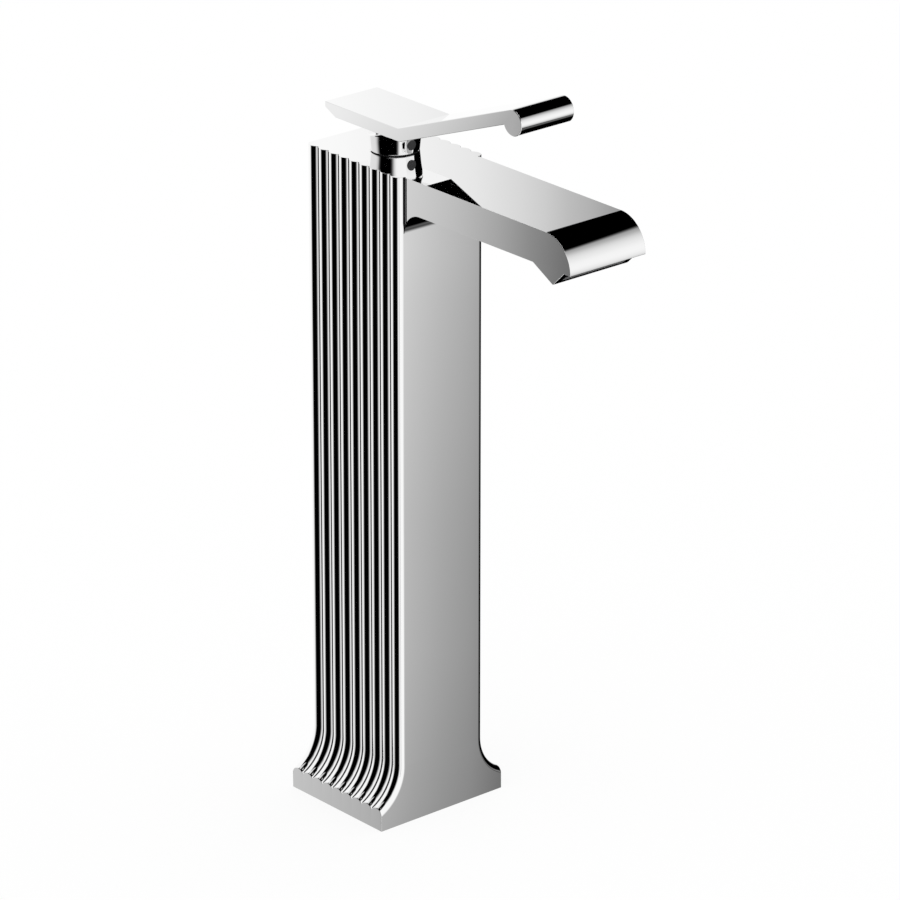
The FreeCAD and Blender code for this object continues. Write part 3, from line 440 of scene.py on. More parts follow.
place = stretched_place(tree, WHEEL_STRETCH)
haze = add_node(tree, "TexNoise", Vector=place, Scale=per_metre(CHROME_HAZE_MM), Detail=3.0)
smoothness = add_node(tree, "MapRange", Value=haze.outputs["Fac"], From_Min=NOISE_SPAN[0],
                      From_Max=NOISE_SPAN[1], To_Min=CHROME_SHINE[0], To_Max=CHROME_SHINE[1])
roughness = add_node(tree, "Mix", i_0=all_painted_shade.outputs[0], i_2=smoothness.outputs[0], i_3=PAINTED_SHADE_ROUGHNESS)
# Painted shade: where the mask is high, the colour turns near-black and the mirror rougher.
colour = add_node(tree, "Mix", {"data_type": "RGBA"}, i_0=all_painted_shade.outputs[0],
                  i_6=linear(CHROME), i_7=linear(CHROME_PAINTED_SHADE))
ripple = add_node(tree, "TexNoise", Vector=place, Scale=per_metre(CHROME_RIPPLE_MM), Detail=0.0)
bump = add_node(tree, "Bump", Strength=RIPPLE_STRENGTH, Distance=RIPPLE_HEIGHT,
                Height=ripple.outputs["Fac"])
shader = add_node(tree, "BsdfPrincipled", Base_Color=colour.outputs[2], Metallic=1.0,
                  Roughness=roughness.outputs[0], Normal=bump.outputs[0])
add_node(tree, "OutputMaterial", Surface=shader.outputs[0])
print(chrome.name, "ripple", CHROME_RIPPLE_MM, "mm")

# %% [markdown]
# ## Finishes with a grain
# The other finishes are built alike: a pattern is the grain that the tool or the mould left. It steers the
# roughness and a small bump, and the grain or larger patches blend two colours. One function ends them.

# %% The shared end of a grained finish


def finish(tree, share, colours, grain, shine, relief=(0.0, 0.0), span=(0.0, 1.0), **more):
    """share blends the colours; grain, over span, sets the roughness; relief is (strength, mm)."""
    colour = add_node(tree, "Mix", {"data_type": "RGBA"}, i_0=share,
                      i_6=linear(colours[0]), i_7=linear(colours[1]))
    roughness = add_node(tree, "MapRange", Value=grain, From_Min=span[0], From_Max=span[1],
                         To_Min=shine[0], To_Max=shine[1])
    bump = add_node(tree, "Bump", Strength=relief[0], Distance=relief[1] * MM, Height=grain)
    shader = add_node(tree, "BsdfPrincipled", Base_Color=colour.outputs[2],
                      Roughness=roughness.outputs[0], Normal=bump.outputs[0], **more)
    add_node(tree, "OutputMaterial", Surface=shader.outputs[0])


# %% [markdown]
# ## Machined brass
# The valve unit and the inlet block are milled from brass and left bare inside the column. The cutter
# leaves fine parallel tracks that spread the highlight across them, and the metal tarnishes a little brown
# in patches. The tracks are really about 0.1 mm apart: they are drawn at 0.5 mm so that they show.

# %% Brass
BRASS_BARE_TARNISHED = ("#D9B36A", "#A97E3F")
BRASS_SHINE = (0.18, 0.36)
CUTTER_TRACK_MM = 0.5
CUTTER_STRETCH = (0.04, 1.0, 1.0)
CUTTER_RELIEF = (0.25, 0.03)
TARNISH_MM = 7.0
TARNISH_FROM = (0.45, 0.8)
TARNISH_MOST = 0.6

brass, tree = new_material("machined_brass")
tracks = add_node(tree, "TexNoise", Vector=stretched_place(tree, CUTTER_STRETCH),
                  Scale=per_metre(CUTTER_TRACK_MM), Detail=2.0)
patches = add_node(tree, "TexNoise", Vector=stretched_place(tree),
                   Scale=per_metre(TARNISH_MM), Detail=4.0, Roughness=0.6)
brown = add_node(tree, "MapRange", Value=patches.outputs["Fac"],
                 From_Min=TARNISH_FROM[0], From_Max=TARNISH_FROM[1], To_Max=TARNISH_MOST)
finish(tree, brown.outputs[0], BRASS_BARE_TARNISHED, tracks.outputs["Fac"], BRASS_SHINE, CUTTER_RELIEF,
       NOISE_SPAN, Metallic=1.0)
print(brass.name, "tracks", CUTTER_TRACK_MM, "mm")

# %% [markdown]
# ## Drawn copper tube
# The two risers are copper tube, pulled through a die. The die leaves long straight lines along the tube,
# and handling leaves darker, browner patches. Stretching a noise twenty-five times along Z gives the lines.
# Real die lines are finer than 0.1 mm: they are drawn at 0.4 mm so that they show.

# %% Copper
COPPER_FRESH_HANDLED = ("#D98D6A", "#8E4F37")
COPPER_SHINE = (0.16, 0.32)
DIE_LINE_MM = 0.4
DIE_STRETCH = (1.0, 1.0, 0.04)
DIE_RELIEF = (0.2, 0.02)
HANDLED_MM = 14.0
HANDLED_STRETCH = (1.0, 1.0, 0.5)
HANDLED_FROM = (0.45, 0.75)
HANDLED_MOST = 0.7

copper, tree = new_material("drawn_copper_tube")
lines = add_node(tree, "TexNoise", Vector=stretched_place(tree, DIE_STRETCH),
                 Scale=per_metre(DIE_LINE_MM), Detail=2.0)
patches = add_node(tree, "TexNoise", Vector=stretched_place(tree, HANDLED_STRETCH),
                   Scale=per_metre(HANDLED_MM), Detail=4.0, Roughness=0.6)
brown = add_node(tree, "MapRange", Value=patches.outputs["Fac"],
                 From_Min=HANDLED_FROM[0], From_Max=HANDLED_FROM[1], To_Max=HANDLED_MOST)
finish(tree, brown.outputs[0], COPPER_FRESH_HANDLED, lines.outputs["Fac"], COPPER_SHINE, DIE_RELIEF,
       NOISE_SPAN, Metallic=1.0)
print(copper.name, "die lines", DIE_LINE_MM, "mm")

# %% [markdown]
# ## Turned stainless steel
# The spindle, its pin and the screws are turned on a lathe from stainless bar. The tool leaves fine rings
# round each piece, so the grain is drawn out in the plane across the bar and stays fine along it.

# %% Stainless steel
STEEL_LIGHT_SHADE = ("#C9CACC", "#9C9EA1")
STEEL_SHINE = (0.2, 0.34)
TOOL_RING_MM = 0.25
RING_STRETCH = (0.06, 0.06, 1.0)
RING_RELIEF = (0.2, 0.02)

steel, tree = new_material("turned_stainless_steel")
rings = add_node(tree, "TexNoise", Vector=stretched_place(tree, RING_STRETCH),
                 Scale=per_metre(TOOL_RING_MM), Detail=2.0).outputs["Fac"]
finish(tree, rings, STEEL_LIGHT_SHADE, rings, STEEL_SHINE, RING_RELIEF, NOISE_SPAN, Metallic=1.0)
print(steel.name, "rings", TOOL_RING_MM, "mm")

# %% [markdown]
# ## Moulded acetal
# The cartridge's turret, driver, housing and foot are acetal, a slippery white engineering plastic. The
# mould's spark-eroded face gives it a fine even matt, and light goes a little way in, which the slight
# warm mottle stands for. The mould's grain is about 0.1 mm: it is drawn at 0.3 mm so that it shows.

# %% Acetal
ACETAL_WHITE_MOTTLE = ("#E9E7DF", "#D8D4C6")
ACETAL_IOR = 1.48
ACETAL_SHINE = (0.32, 0.5)
MOULD_GRAIN_MM = 0.3
MOULD_RELIEF = (0.15, 0.02)
FLOW_MM = 4.0
FLOW_STRETCH = (1.0, 1.0, 0.5)

acetal, tree = new_material("moulded_acetal")
grain = add_node(tree, "TexNoise", Vector=stretched_place(tree),
                 Scale=per_metre(MOULD_GRAIN_MM), Detail=2.0)
flow = add_node(tree, "TexNoise", Vector=stretched_place(tree, FLOW_STRETCH),
                Scale=per_metre(FLOW_MM), Detail=2.0)
finish(tree, flow.outputs["Fac"], ACETAL_WHITE_MOTTLE, grain.outputs["Fac"], ACETAL_SHINE, MOULD_RELIEF,
       IOR=ACETAL_IOR)
print(acetal.name, "grain", MOULD_GRAIN_MM, "mm")

# %% [markdown]
# ## Lapped alumina
# The two valve discs are alumina ceramic, fired and then lapped against each other until water can't pass.
# The eye gets a dense ivory white with a wet shine, and a faint speckle of grains in the body. Real grains
# are a few hundredths of a millimetre: they are drawn at 0.35 mm so that they show.

# %% Alumina
ALUMINA_IVORY_SPECKLE = ("#F3F1EA", "#E2DDCF")
ALUMINA_IOR = 1.76
ALUMINA_SHINE = (0.08, 0.18)
SPECKLE_MM = 0.35

alumina, tree = new_material("lapped_alumina")
speckle = add_node(tree, "TexVoronoi", Vector=stretched_place(tree),
                   Scale=per_metre(SPECKLE_MM)).outputs["Distance"]
finish(tree, speckle, ALUMINA_IVORY_SPECKLE, speckle, ALUMINA_SHINE, IOR=ALUMINA_IOR)
print(alumina.name, "speckle", SPECKLE_MM, "mm")

# %% [markdown]
# ## Dark moulded plastics and rubber
# The outlet insert is matt black acetal copolymer, the index dot on the collar is the same kind of plastic
# from a polished mould, and the seals are nitrile rubber with a dusting of talc. One short loop makes the
# three, because they differ only in colour, shine and the size of their grain.

# %% Outlet plastic, index plastic and nitrile rubber
# Base colour and lighter grain, grain in mm, roughness from and to, strength and height of the relief
DARK_FINISHES = {
    "moulded_black_acetal": (("#2A2A2C", "#3A3A3D"), 0.4, (0.38, 0.55), (0.25, 0.03)),
    "glossy_black_index": (("#0C0C0E", "#18181B"), 0.6, (0.10, 0.20), (0.05, 0.03)),
    "nitrile_rubber": (("#161617", "#242425"), 0.5, (0.55, 0.75), (0.35, 0.03)),
}

dark = {}
for name, (colours, grain_mm, shine, relief) in DARK_FINISHES.items():
    dark[name], tree = new_material(name)
    grain = add_node(tree, "TexNoise", Vector=stretched_place(tree),
                     Scale=per_metre(grain_mm), Detail=3.0).outputs["Fac"]
    finish(tree, grain, colours, grain, shine, relief)
print("dark finishes:", list(dark))

# %% [markdown]
# ## Give each piece of the construction its finish
# The record says which slot each node takes its finish from, so one table from slot to material dresses
# them all. The three polished pieces are replaced by finer meshes further on.

# %% Dress the nodes
FINISH_OF_SLOT = {
    "chrome_plated_brass": chrome, "brass": brass, "copper": copper, "steel": steel, "acetal": acetal,
    "ceramic": alumina, "outlet_plastic": dark["moulded_black_acetal"],
    "index_plastic": dark["glossy_black_index"], "rubber": dark["nitrile_rubber"],
}
for subpart in frame["record"]["subparts"]:
    shape = nodes[subpart["node"]].data
    shape.materials.clear()
    shape.materials.append(FINISH_OF_SLOT[subpart["material_slot"]])

# %% [markdown]
# ## Helpers for finer meshes
# A mirror finish shows every facet and every missing edge radius, so the polished pieces are built again
# as clean quads with their real small edge rounding. The steps are the same for each: draw an outline,
# sweep it, mark the edges that a polisher would break, bevel those, cut the holes, and let the large flat
# faces rule the normals so that they stay flat in the reflection.

# %% Outlines and pieces


def arc_points(centre, radius, start, end, steps):
    """Points on an arc, from the angle start to the angle end in degrees, both included."""
    angles = [math.radians(start + (end - start) * n / steps) for n in range(steps + 1)]
    return [(centre[0] + radius * math.cos(a), centre[1] + radius * math.sin(a)) for a in angles]


def piece_from(name, bm):
    """Turns a mesh drawn in millimetres into an object in metres, with its faces turned outwards."""
    bmesh.ops.recalc_face_normals(bm, faces=bm.faces)
    bmesh.ops.scale(bm, vec=(MM, MM, MM), verts=bm.verts)
    mesh = bpy.data.meshes.new(name)
    bm.to_mesh(mesh)
    bm.free()
    made = bpy.data.objects.new(name, mesh)
    bpy.context.scene.collection.objects.link(made)
    return made


def apply_modifiers(made):
    graph = bpy.context.evaluated_depsgraph_get()
    mesh = bpy.data.meshes.new_from_object(made.evaluated_get(graph))
    made.modifiers.clear()
    made.data = mesh


print("a quarter round in 4 steps has", len(arc_points((0.0, 0.0), 1.0, 0, 90, 4)), "points")

# %% [markdown]
# ## Broken edges, cuts and shading
# Each of these steps is a modifier that is applied at once, which does the same as a button press in the
# modifier panel and keeps the script in order. Only edges with a bevel weight are rounded, so the choice
# of edges stays with the drawing.

# %% Bevel, carve and shade
EDGE_BREAK = 0.15
EDGE_SEGMENTS = 3
SMOOTH_UNDER = math.radians(32)


def break_edges(made, width=EDGE_BREAK):
    """Rounds the edges that carry a bevel weight."""
    rounding = made.modifiers.new("edge_break", "BEVEL")
    rounding.limit_method = "WEIGHT"
    rounding.width = width * MM
    rounding.segments = EDGE_SEGMENTS
    rounding.use_clamp_overlap = False
    apply_modifiers(made)


def carve(made, cutter, operation="DIFFERENCE"):
    """Cuts a helper solid out of a piece, or joins it on, and deletes the helper."""
    cut = made.modifiers.new("carve", "BOOLEAN")
    cut.operation = operation
    cut.solver = "EXACT"
    cut.object = cutter
    apply_modifiers(made)
    bpy.data.objects.remove(cutter)


def shade(made, under=SMOOTH_UNDER):
    """Smooth shading, sharp from an angle on, with normals ruled by the larger faces."""
    made.data.polygons.foreach_set("use_smooth", [True] * len(made.data.polygons))
    made.data.set_sharp_from_angle(angle=under)
    ruled = made.modifiers.new("flat_faces_rule", "WEIGHTED_NORMAL")
    ruled.keep_sharp = True
    apply_modifiers(made)


print("edges are broken by", EDGE_BREAK, "mm in", EDGE_SEGMENTS, "steps")

# %% [markdown]
# ## Cutters
# A drill and a milling cutter leave round and straight-sided holes, so two helper solids are enough: a rod
# and a box. Each is drawn in millimetres, used once and deleted. Both can lean about the X axis, for the
# slanting outlet and for holes drilled from the front.

# %% A box and a rod to cut with
ROD_STEPS = 72


def tilted(bm, about, tilt):
    """Turns a drawn shape about the X axis by tilt degrees, then carries its origin to a point."""
    turn = Matrix.Rotation(math.radians(tilt), 3, "X")
    bmesh.ops.rotate(bm, verts=bm.verts, cent=(0, 0, 0), matrix=turn)
    bmesh.ops.translate(bm, verts=bm.verts, vec=about)


def box_cutter(low, high, about=(0, 0, 0), tilt=0.0):
    bm = bmesh.new()
    bmesh.ops.create_cube(bm, size=1.0)
    bmesh.ops.scale(bm, verts=bm.verts, vec=[h - l for l, h in zip(low, high)])
    bmesh.ops.translate(bm, verts=bm.verts, vec=[(h + l) / 2 for l, h in zip(low, high)])
    tilted(bm, about, tilt)
    return piece_from("cutter", bm)


def centred_cutter(half, bottom, top, about=(0, 0, 0), tilt=0.0):
    """A box about the Z axis, given by its half width and half depth and by its two heights."""
    return box_cutter((-half[0], -half[1], bottom), (*half, top), about, tilt)


def rod_cutter(radius, start, length, tilt=0.0, flat=None):
    """A rod that rises from the point start, or leans about X; flat is the y that cuts its front off."""
    bm = bmesh.new()
    section = arc_points((0.0, 0.0), radius, 0, 360, ROD_STEPS)[:-1]
    if flat is not None:
        section = [(x, max(y, flat)) for x, y in section]
    ends = [[bm.verts.new((x, y, z)) for x, y in section] for z in (0.0, length)]
    bm.faces.new(ends[0])
    bm.faces.new(ends[1])
    for n in range(ROD_STEPS):
        m = (n + 1) % ROD_STEPS
        bm.faces.new((ends[0][n], ends[0][m], ends[1][m], ends[1][n]))
    tilted(bm, start, tilt)
    return piece_from("cutter", bm)


print("a rod has", ROD_STEPS, "sides")

# %% [markdown]
# ## Standing in for a node
# The construction's own mesh is never changed. A finer mesh hides the node that it replaces, rides on
# the same moving body and takes the same chrome, so the lever still turns and its chrome can be swapped.

# %% Hand a finer mesh over


def hand_over(made, node, body):
    """Lets a finer mesh stand for its node."""
    made.data.materials.clear()
    made.data.materials.append(chrome)
    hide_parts(node)
    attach(made, body)
    print(made.name, "replaces", node, "with", len(made.data.polygons), "faces")


# %% [markdown]
# ## The casting's plan
# Seen from above, each side of the column is a row of convex reeds: arcs that meet in sharp valleys, with a
# small rounding into the flat front and back. One list of points per side holds that row, from the front
# to the back. Drawing it as arcs, and not as a modifier on a cylinder, gives each reed the same number of
# quads and keeps the valleys crisp.

# %% Reed outline
casting_low, casting_high = [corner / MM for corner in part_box("body_casting")]
COLUMN_TOP = casting_high.z
HALF_DEPTH = casting_high.y
PLINTH_HALF = casting_high.x
CREST_HALF = 24.1
REED_COUNT = 9
REED_HEIGHT = 1.55
REED_END_LAND = 0.2
CORNER_RADIUS = 2.8
REED_STEPS = 16
CORNER_STEPS = 8

reed_pitch = 2 * (HALF_DEPTH - REED_END_LAND) / REED_COUNT
reed_radius = (reed_pitch ** 2 / 4 + REED_HEIGHT ** 2) / (2 * REED_HEIGHT)
reed_centre = CREST_HALF - reed_radius
valley_half = CREST_HALF - REED_HEIGHT
reed_half_turn = math.degrees(math.asin(reed_pitch / 2 / reed_radius))
end_reed = reed_pitch / 2 + REED_END_LAND
corner_half = reed_centre + math.sqrt((reed_radius - CORNER_RADIUS) ** 2 - (end_reed - CORNER_RADIUS) ** 2)
corner_turn = math.degrees(math.atan2(corner_half - reed_centre, end_reed - CORNER_RADIUS))


def reed_row():
    """(x, y) points of the right-hand side, front to back."""
    front = CORNER_RADIUS - HALF_DEPTH
    points = arc_points((corner_half, front), CORNER_RADIUS, -90, corner_turn - 90, CORNER_STEPS)
    for number in range(REED_COUNT):
        middle = -HALF_DEPTH + end_reed + number * reed_pitch
        start = corner_turn - 90 if number == 0 else -reed_half_turn
        end = 90 - corner_turn if number == REED_COUNT - 1 else reed_half_turn
        points += arc_points((reed_centre, middle), reed_radius, start, end, REED_STEPS)[1:]
    return points + arc_points((corner_half, -front), CORNER_RADIUS, 90 - corner_turn, 90, CORNER_STEPS)[1:]


row = reed_row()
print("reed row:", len(row), "points, pitch", round(reed_pitch, 2), "mm")

# %% [markdown]
# ## The flare
# The row is swept down the column, round the flare and out to the plinth. On the flare every point turns
# about one axis beside the column, so crests and valleys swing out together and end in the scalloped edge
# of the plinth. A curve with a bevel profile would sweep too, but it can't stop each point at the plinth's
# side, as this formula does.

# %% Down the side of the column
FLARE_START = 27.95
FLARE_RADIUS = 21.5
FLARE_STEPS = 22

flare_axis = valley_half + FLARE_RADIUS


def flare_point(x, share):
    """Where a point of the row is, a share of the way round the flare: (x, z)."""
    radius = flare_axis - x
    turn = share * math.acos((flare_axis - PLINTH_HALF) / radius)
    return flare_axis - radius * math.cos(turn), FLARE_START - radius * math.sin(turn)


def side_levels(x):
    """(x, z) of one point of the row on its way down from the top to the deck."""
    levels = [(x, COLUMN_TOP)]
    levels += [flare_point(x, step / FLARE_STEPS) for step in range(FLARE_STEPS + 1)]
    return levels + [(PLINTH_HALF, 0.0)]


def reeded_sides(bm, broken):
    """Both reeded walls, right and left, as grids of points; adds their ends to the edges to break."""
    sides = []
    for sign in (1, -1):
        grid = [[bm.verts.new((sign * out, y, z)) for out, z in side_levels(x)] for x, y in row]
        for near, far in zip(grid, grid[1:]):
            for n in range(len(near) - 1):
                bm.faces.new((near[n], far[n], far[n + 1], near[n + 1]))
            broken += [(near[0], far[0]), (near[-2], far[-2])]
        broken += [(line[-2], line[-1]) for line in (grid[0], grid[-1])]
        sides.append(grid)
    return sides


print("levels down a side:", len(side_levels(valley_half)))

# %% [markdown]
# ## The spout
# The spout is a slab with a round end over a slanting outlet, and a fillet takes its underside into the
# column. Its side view says it all, so it is drawn as that outline, twice, with a strip of quads between.

# %% The spout's side and the strip round it
SPOUT_HALF = 20.8
SPOUT_THICKNESS = 15.2
LIP_DEPTH = 4.0
OUTLET_RUN = 6.8
OUTLET_DROP = 6.6
NOSE_BACK = 12.3
ROOT_RADIUS = 10.0
ROUND_END_STEPS = 40
ROOT_STEPS = 16

spout_end = casting_low.y
ceiling = COLUMN_TOP - SPOUT_THICKNESS


def spout_outline():
    """(y, z) of the spout's side, from the end of its flat top round to the foot of the root fillet."""
    root_y = -HALF_DEPTH - ROOT_RADIUS
    lip = spout_end + LIP_DEPTH
    tip = lip + OUTLET_RUN
    outline = arc_points((spout_end + SPOUT_THICKNESS, ceiling), SPOUT_THICKNESS, 90, 180, ROUND_END_STEPS)
    outline += [(lip, ceiling), (tip, ceiling - OUTLET_DROP), (tip + NOSE_BACK, ceiling)]
    return outline + arc_points((root_y, ceiling - ROOT_RADIUS), ROOT_RADIUS, 90, 0, ROOT_STEPS)


def spout_sides(bm, broken):
    """The spout's two side faces and the strip between them; adds its rim to the edges to break."""
    profiles = []
    for x in (SPOUT_HALF, -SPOUT_HALF):
        start = bm.verts.new((x, -HALF_DEPTH, COLUMN_TOP))
        profile = [start] + [bm.verts.new((x, y, z)) for y, z in spout_outline()]
        bm.faces.new(profile)
        broken += list(zip(profile[:-ROOT_STEPS - 1], profile[1:-ROOT_STEPS]))
        profiles.append(profile)
    right, left = profiles
    for n in range(1, len(right) - 1):
        bm.faces.new((right[n], right[n + 1], left[n + 1], left[n]))
    lip_edge = 1 + ROUND_END_STEPS
    broken += [(right[n], left[n]) for n in (lip_edge, lip_edge + 2)]
    return profiles


print("spout outline:", len(spout_outline()), "points")

# %% [markdown]
# ## The casting
# Column and spout share the top and the front face, because on the real tap they are one casting without a
# seam. So four large faces close the shell: the top with the spout's top in it, the deck, the back, and the
# front with the spout's root left open.

# %% Close the shell and break its edges


def casting_mesh():
    bm = bmesh.new()
    broken = []
    right, left = reeded_sides(bm, broken)
    spout_right, spout_left = spout_sides(bm, broken)
    top = [line[0] for line in right] + [line[0] for line in reversed(left)]
    bm.faces.new(top + [spout_left[0], spout_left[1], spout_right[1], spout_right[0]])
    bm.faces.new([line[-1] for line in right] + [line[-1] for line in reversed(left)])
    bm.faces.new(right[-1] + list(reversed(left[-1])))
    bm.faces.new(left[0] + list(reversed(right[0]))
                 + [spout_right[0], spout_right[-1], spout_left[-1], spout_left[0]])
    broken += [(right[0][0], spout_right[0]), (left[0][0], spout_left[0]), (right[-1][0], left[-1][0])]
    weight = bm.edges.layers.float.new("bevel_weight_edge")
    for first, second in broken:
        bm.edges.get((first, second))[weight] = 1.0
    return bm


casting = piece_from("polished_casting", casting_mesh())
print("casting shell:", len(casting.data.polygons), "faces")
break_edges(casting)
print("with broken edges:", len(casting.data.polygons), "faces")

# %% [markdown]
# ## Hollow the column
# The column is hollow from below, where the valve unit slides in. A wide recess takes the inlet block, and
# a round hole lets the cartridge's neck through the top. Exact booleans keep the edges clean on such a
# mesh. Where a cutter leaves the metal it runs over by a millimetre, so that no two faces share a plane.

# %% Carve the column
CAVITY_HALF = (18.96, 26.6)
RECESS_HALF = (27.6, 26.6)
RECESS_HEIGHT = 6.0
NECK_HOLE = 8.7
OVERRUN = 1.0

carve(casting, centred_cutter(CAVITY_HALF, -OVERRUN, ceiling))
carve(casting, centred_cutter(RECESS_HALF, -OVERRUN, RECESS_HEIGHT))
carve(casting, rod_cutter(NECK_HOLE, (0, 0, ceiling - OVERRUN), SPOUT_THICKNESS + 2 * OVERRUN))
print("hollow column:", len(casting.data.polygons), "faces")

# %% [markdown]
# ## The water's way and the screw holes
# Water comes up through a port, runs along a flat channel in the spout and falls through a throat into the
# slanting pocket of the outlet insert. All of it is cut, so that the shell is as open as the real one when
# it is seen from underneath. Four blind holes in the recess take the inlet block's screws.

# %% Carve the spout and drill the foot
PORT_RADIUS = 3.8
PORT_Y = -19.4
CHANNEL_LOW = (-14.0, -121.0)
CHANNEL_HIGH = (14.0, PORT_Y + PORT_RADIUS)
CHANNEL_FLOOR = 3.8
CHANNEL_HEIGHT = 7.0
POCKET_HALF = (16.9, 3.1)
POCKET_DEPTH = 8.0
THROAT_HALF = (14.0, 1.8)
THROAT_DEPTH = 7.0
SCREW_PLACES = [(x, y) for x in (-23.5, 23.5) for y in (-20.0, 20.0)]
SCREW_HOLE = 2.02
SCREW_HOLE_TOP = 15.0

outlet_tilt = -math.degrees(math.atan2(OUTLET_DROP, OUTLET_RUN))
outlet = (0.0, spout_end + LIP_DEPTH + OUTLET_RUN / 2, ceiling - OUTLET_DROP / 2)
floor_z = ceiling + CHANNEL_FLOOR
throat_low = POCKET_DEPTH - OVERRUN
throat_high = throat_low + THROAT_DEPTH + OVERRUN
screw_low = RECESS_HEIGHT - OVERRUN
carve(casting, rod_cutter(PORT_RADIUS, (0, PORT_Y, ceiling - OVERRUN), CHANNEL_FLOOR + 2 * OVERRUN))
carve(casting, box_cutter((*CHANNEL_LOW, floor_z), (*CHANNEL_HIGH, floor_z + CHANNEL_HEIGHT)))
carve(casting, centred_cutter(POCKET_HALF, -OVERRUN, POCKET_DEPTH, outlet, outlet_tilt))
carve(casting, centred_cutter(THROAT_HALF, throat_low, throat_high, outlet, outlet_tilt))
for x, y in SCREW_PLACES:
    carve(casting, rod_cutter(SCREW_HOLE, (x, y, screw_low), SCREW_HOLE_TOP - screw_low))
print("carved casting:", len(casting.data.polygons), "faces")

# %% [markdown]
# ## Painted shade in the valleys
# Each point of the mesh carries how much painted shade it gets: 1 in the bottom of a valley, falling to 0
# less than half a millimetre to either side. The chrome is painted near-black there, for the shade between
# the reeds. It could be painted by hand, but a value worked out from the drawing follows the reeds when
# their number changes.

# %% Mark the valleys
VALLEY_SHADE_REACH = 0.42
VALLEY_SLACK = 0.05

valleys = [-HALF_DEPTH + REED_END_LAND + n * reed_pitch for n in range(1, REED_COUNT)]
# Painted shade: each point gets how dark the chrome is painted at the bottom of a valley.
marks = casting.data.attributes.new("unpolished", "FLOAT", "POINT")
marked = 0
for point, mark in zip(casting.data.vertices, marks.data):
    out, y = abs(point.co.x) / MM, point.co.y / MM
    reeded = valley_half - VALLEY_SLACK <= out <= PLINTH_HALF - EDGE_BREAK
    apart = min(abs(y - valley_y) for valley_y in valleys)
    mark.value = max(0.0, 1.0 - apart / VALLEY_SHADE_REACH) if reeded else 0.0
    marked += mark.value > 0.0
shade(casting)
hand_over(casting, "body_casting", "body")
print("unpolished points:", marked)

# %% [markdown]
# ## The lever
# The lever is one casting: a flat plate over the collar, an arm that rises towards the user and a round
# bar across its end that the fingers lift. A cube with loop cuts could be pulled into that shape. But its
# side view is one outline of straight lines and an arc, so that is drawn twice and joined.

# %% Draw the lever's side
PLATE_TOP = 317.25
PLATE_THICKNESS = 5.77
PLATE_REAR = 28.85
PLATE_FRONT = 19.17
REAR_EDGE = 2.5
REAR_CHAMFER = 6.85
ARM_ANGLE = 20.4
ARM_RUN = 71.0
BAR_RADIUS = 5.7
BAR_STEPS = 48

arm = math.radians(ARM_ANGLE)
plate_bottom = PLATE_TOP - PLATE_THICKNESS
bar_top = (-PLATE_FRONT - ARM_RUN, PLATE_TOP + ARM_RUN * math.tan(arm))
bar_axis = (bar_top[0] - BAR_RADIUS * math.sin(arm), bar_top[1] - BAR_RADIUS * math.cos(arm))
under_arm = 360 - ARM_ANGLE - math.degrees(math.asin((PLATE_THICKNESS - BAR_RADIUS) / BAR_RADIUS))


def lever_outline():
    """(y, z) from the rear top edge, along the top, round the bar and back along the underside."""
    outline = [(PLATE_REAR, PLATE_TOP), (-PLATE_FRONT, PLATE_TOP)]
    outline += arc_points(bar_axis, BAR_RADIUS, 90 - ARM_ANGLE, under_arm, BAR_STEPS)
    outline += [(-PLATE_FRONT - PLATE_THICKNESS * math.tan(arm / 2), plate_bottom)]
    return outline + [(PLATE_REAR - REAR_CHAMFER, plate_bottom), (PLATE_REAR, PLATE_TOP - REAR_EDGE)]


print("lever outline:", len(lever_outline()), "points")

# %% [markdown]
# ## The lever's width and edges
# The long edges and those of the rear end are broken as a polisher leaves them, but the crease between
# plate and arm stays crisp. So the edges that get a bevel weight are picked by their place in the outline.

# %% Give the lever its width
LEVER_HALF = 14.5
LEVER_EDGE = 0.3


def lever_mesh():
    bm = bmesh.new()
    right, left = [[bm.verts.new((x, y, z)) for y, z in lever_outline()] for x in (LEVER_HALF, -LEVER_HALF)]
    bm.faces.new(right)
    bm.faces.new(left)
    weight = bm.edges.layers.float.new("bevel_weight_edge")
    count = len(right)
    for n in range(count):
        m = (n + 1) % count
        bm.faces.new((right[n], right[m], left[m], left[n]))
        for line in (right, left):
            bm.edges.get((line[n], line[m]))[weight] = 1.0
    for n in (0, count - 2, count - 1):
        bm.edges.get((right[n], left[n]))[weight] = 1.0
    return bm


handle = piece_from("polished_lever", lever_mesh())
break_edges(handle, LEVER_EDGE)
print("lever strip:", len(handle.data.polygons), "faces")

# %% [markdown]
# ## The lever's boss
# Under the plate a short round boss takes the spindle. Its socket has one flat, and a small screw from the
# front bites on that flat, which is how the lever is taken off without spoiling the chrome. The boss is
# joined on by a boolean, so that plate and boss are one closed mesh.

# %% Join the boss and cut its socket
BOSS_RADIUS = 4.8
BOSS_LENGTH = 5.5
SOCKET_RADIUS = 3.25
SOCKET_FLAT = 0.6
SOCKET_DEPTH = 7.6
GRUB_RADIUS = 1.27
CREASE_UNDER = math.radians(19)

boss_foot = plate_bottom - BOSS_LENGTH
carve(handle, rod_cutter(BOSS_RADIUS, (0, 0, boss_foot), BOSS_LENGTH + OVERRUN), "UNION")
carve(handle, rod_cutter(SOCKET_RADIUS, (0, 0, boss_foot - OVERRUN), SOCKET_DEPTH + OVERRUN,
                         flat=SOCKET_FLAT - SOCKET_RADIUS))
carve(handle, rod_cutter(GRUB_RADIUS, (0, -BOSS_RADIUS - OVERRUN, plate_bottom - BOSS_LENGTH / 2),
                         BOSS_RADIUS + OVERRUN - SOCKET_RADIUS + SOCKET_FLAT, tilt=-90))
shade(handle, CREASE_UNDER)
hand_over(handle, "lever", "lever")

# %% [markdown]
# ## The collar
# Under the lever's plate sits a small ring that widens upwards. It screws onto the cartridge's neck and
# clamps the valve unit to the column's top. In front the rim comes up to the plate. Behind it is cut lower,
# because the plate's rear dips when the lever is lifted. A thin skirt at the foot hides the seal, which
# leaves the fine dark line below it. The ring's section is worked out first, for any height of the rim.

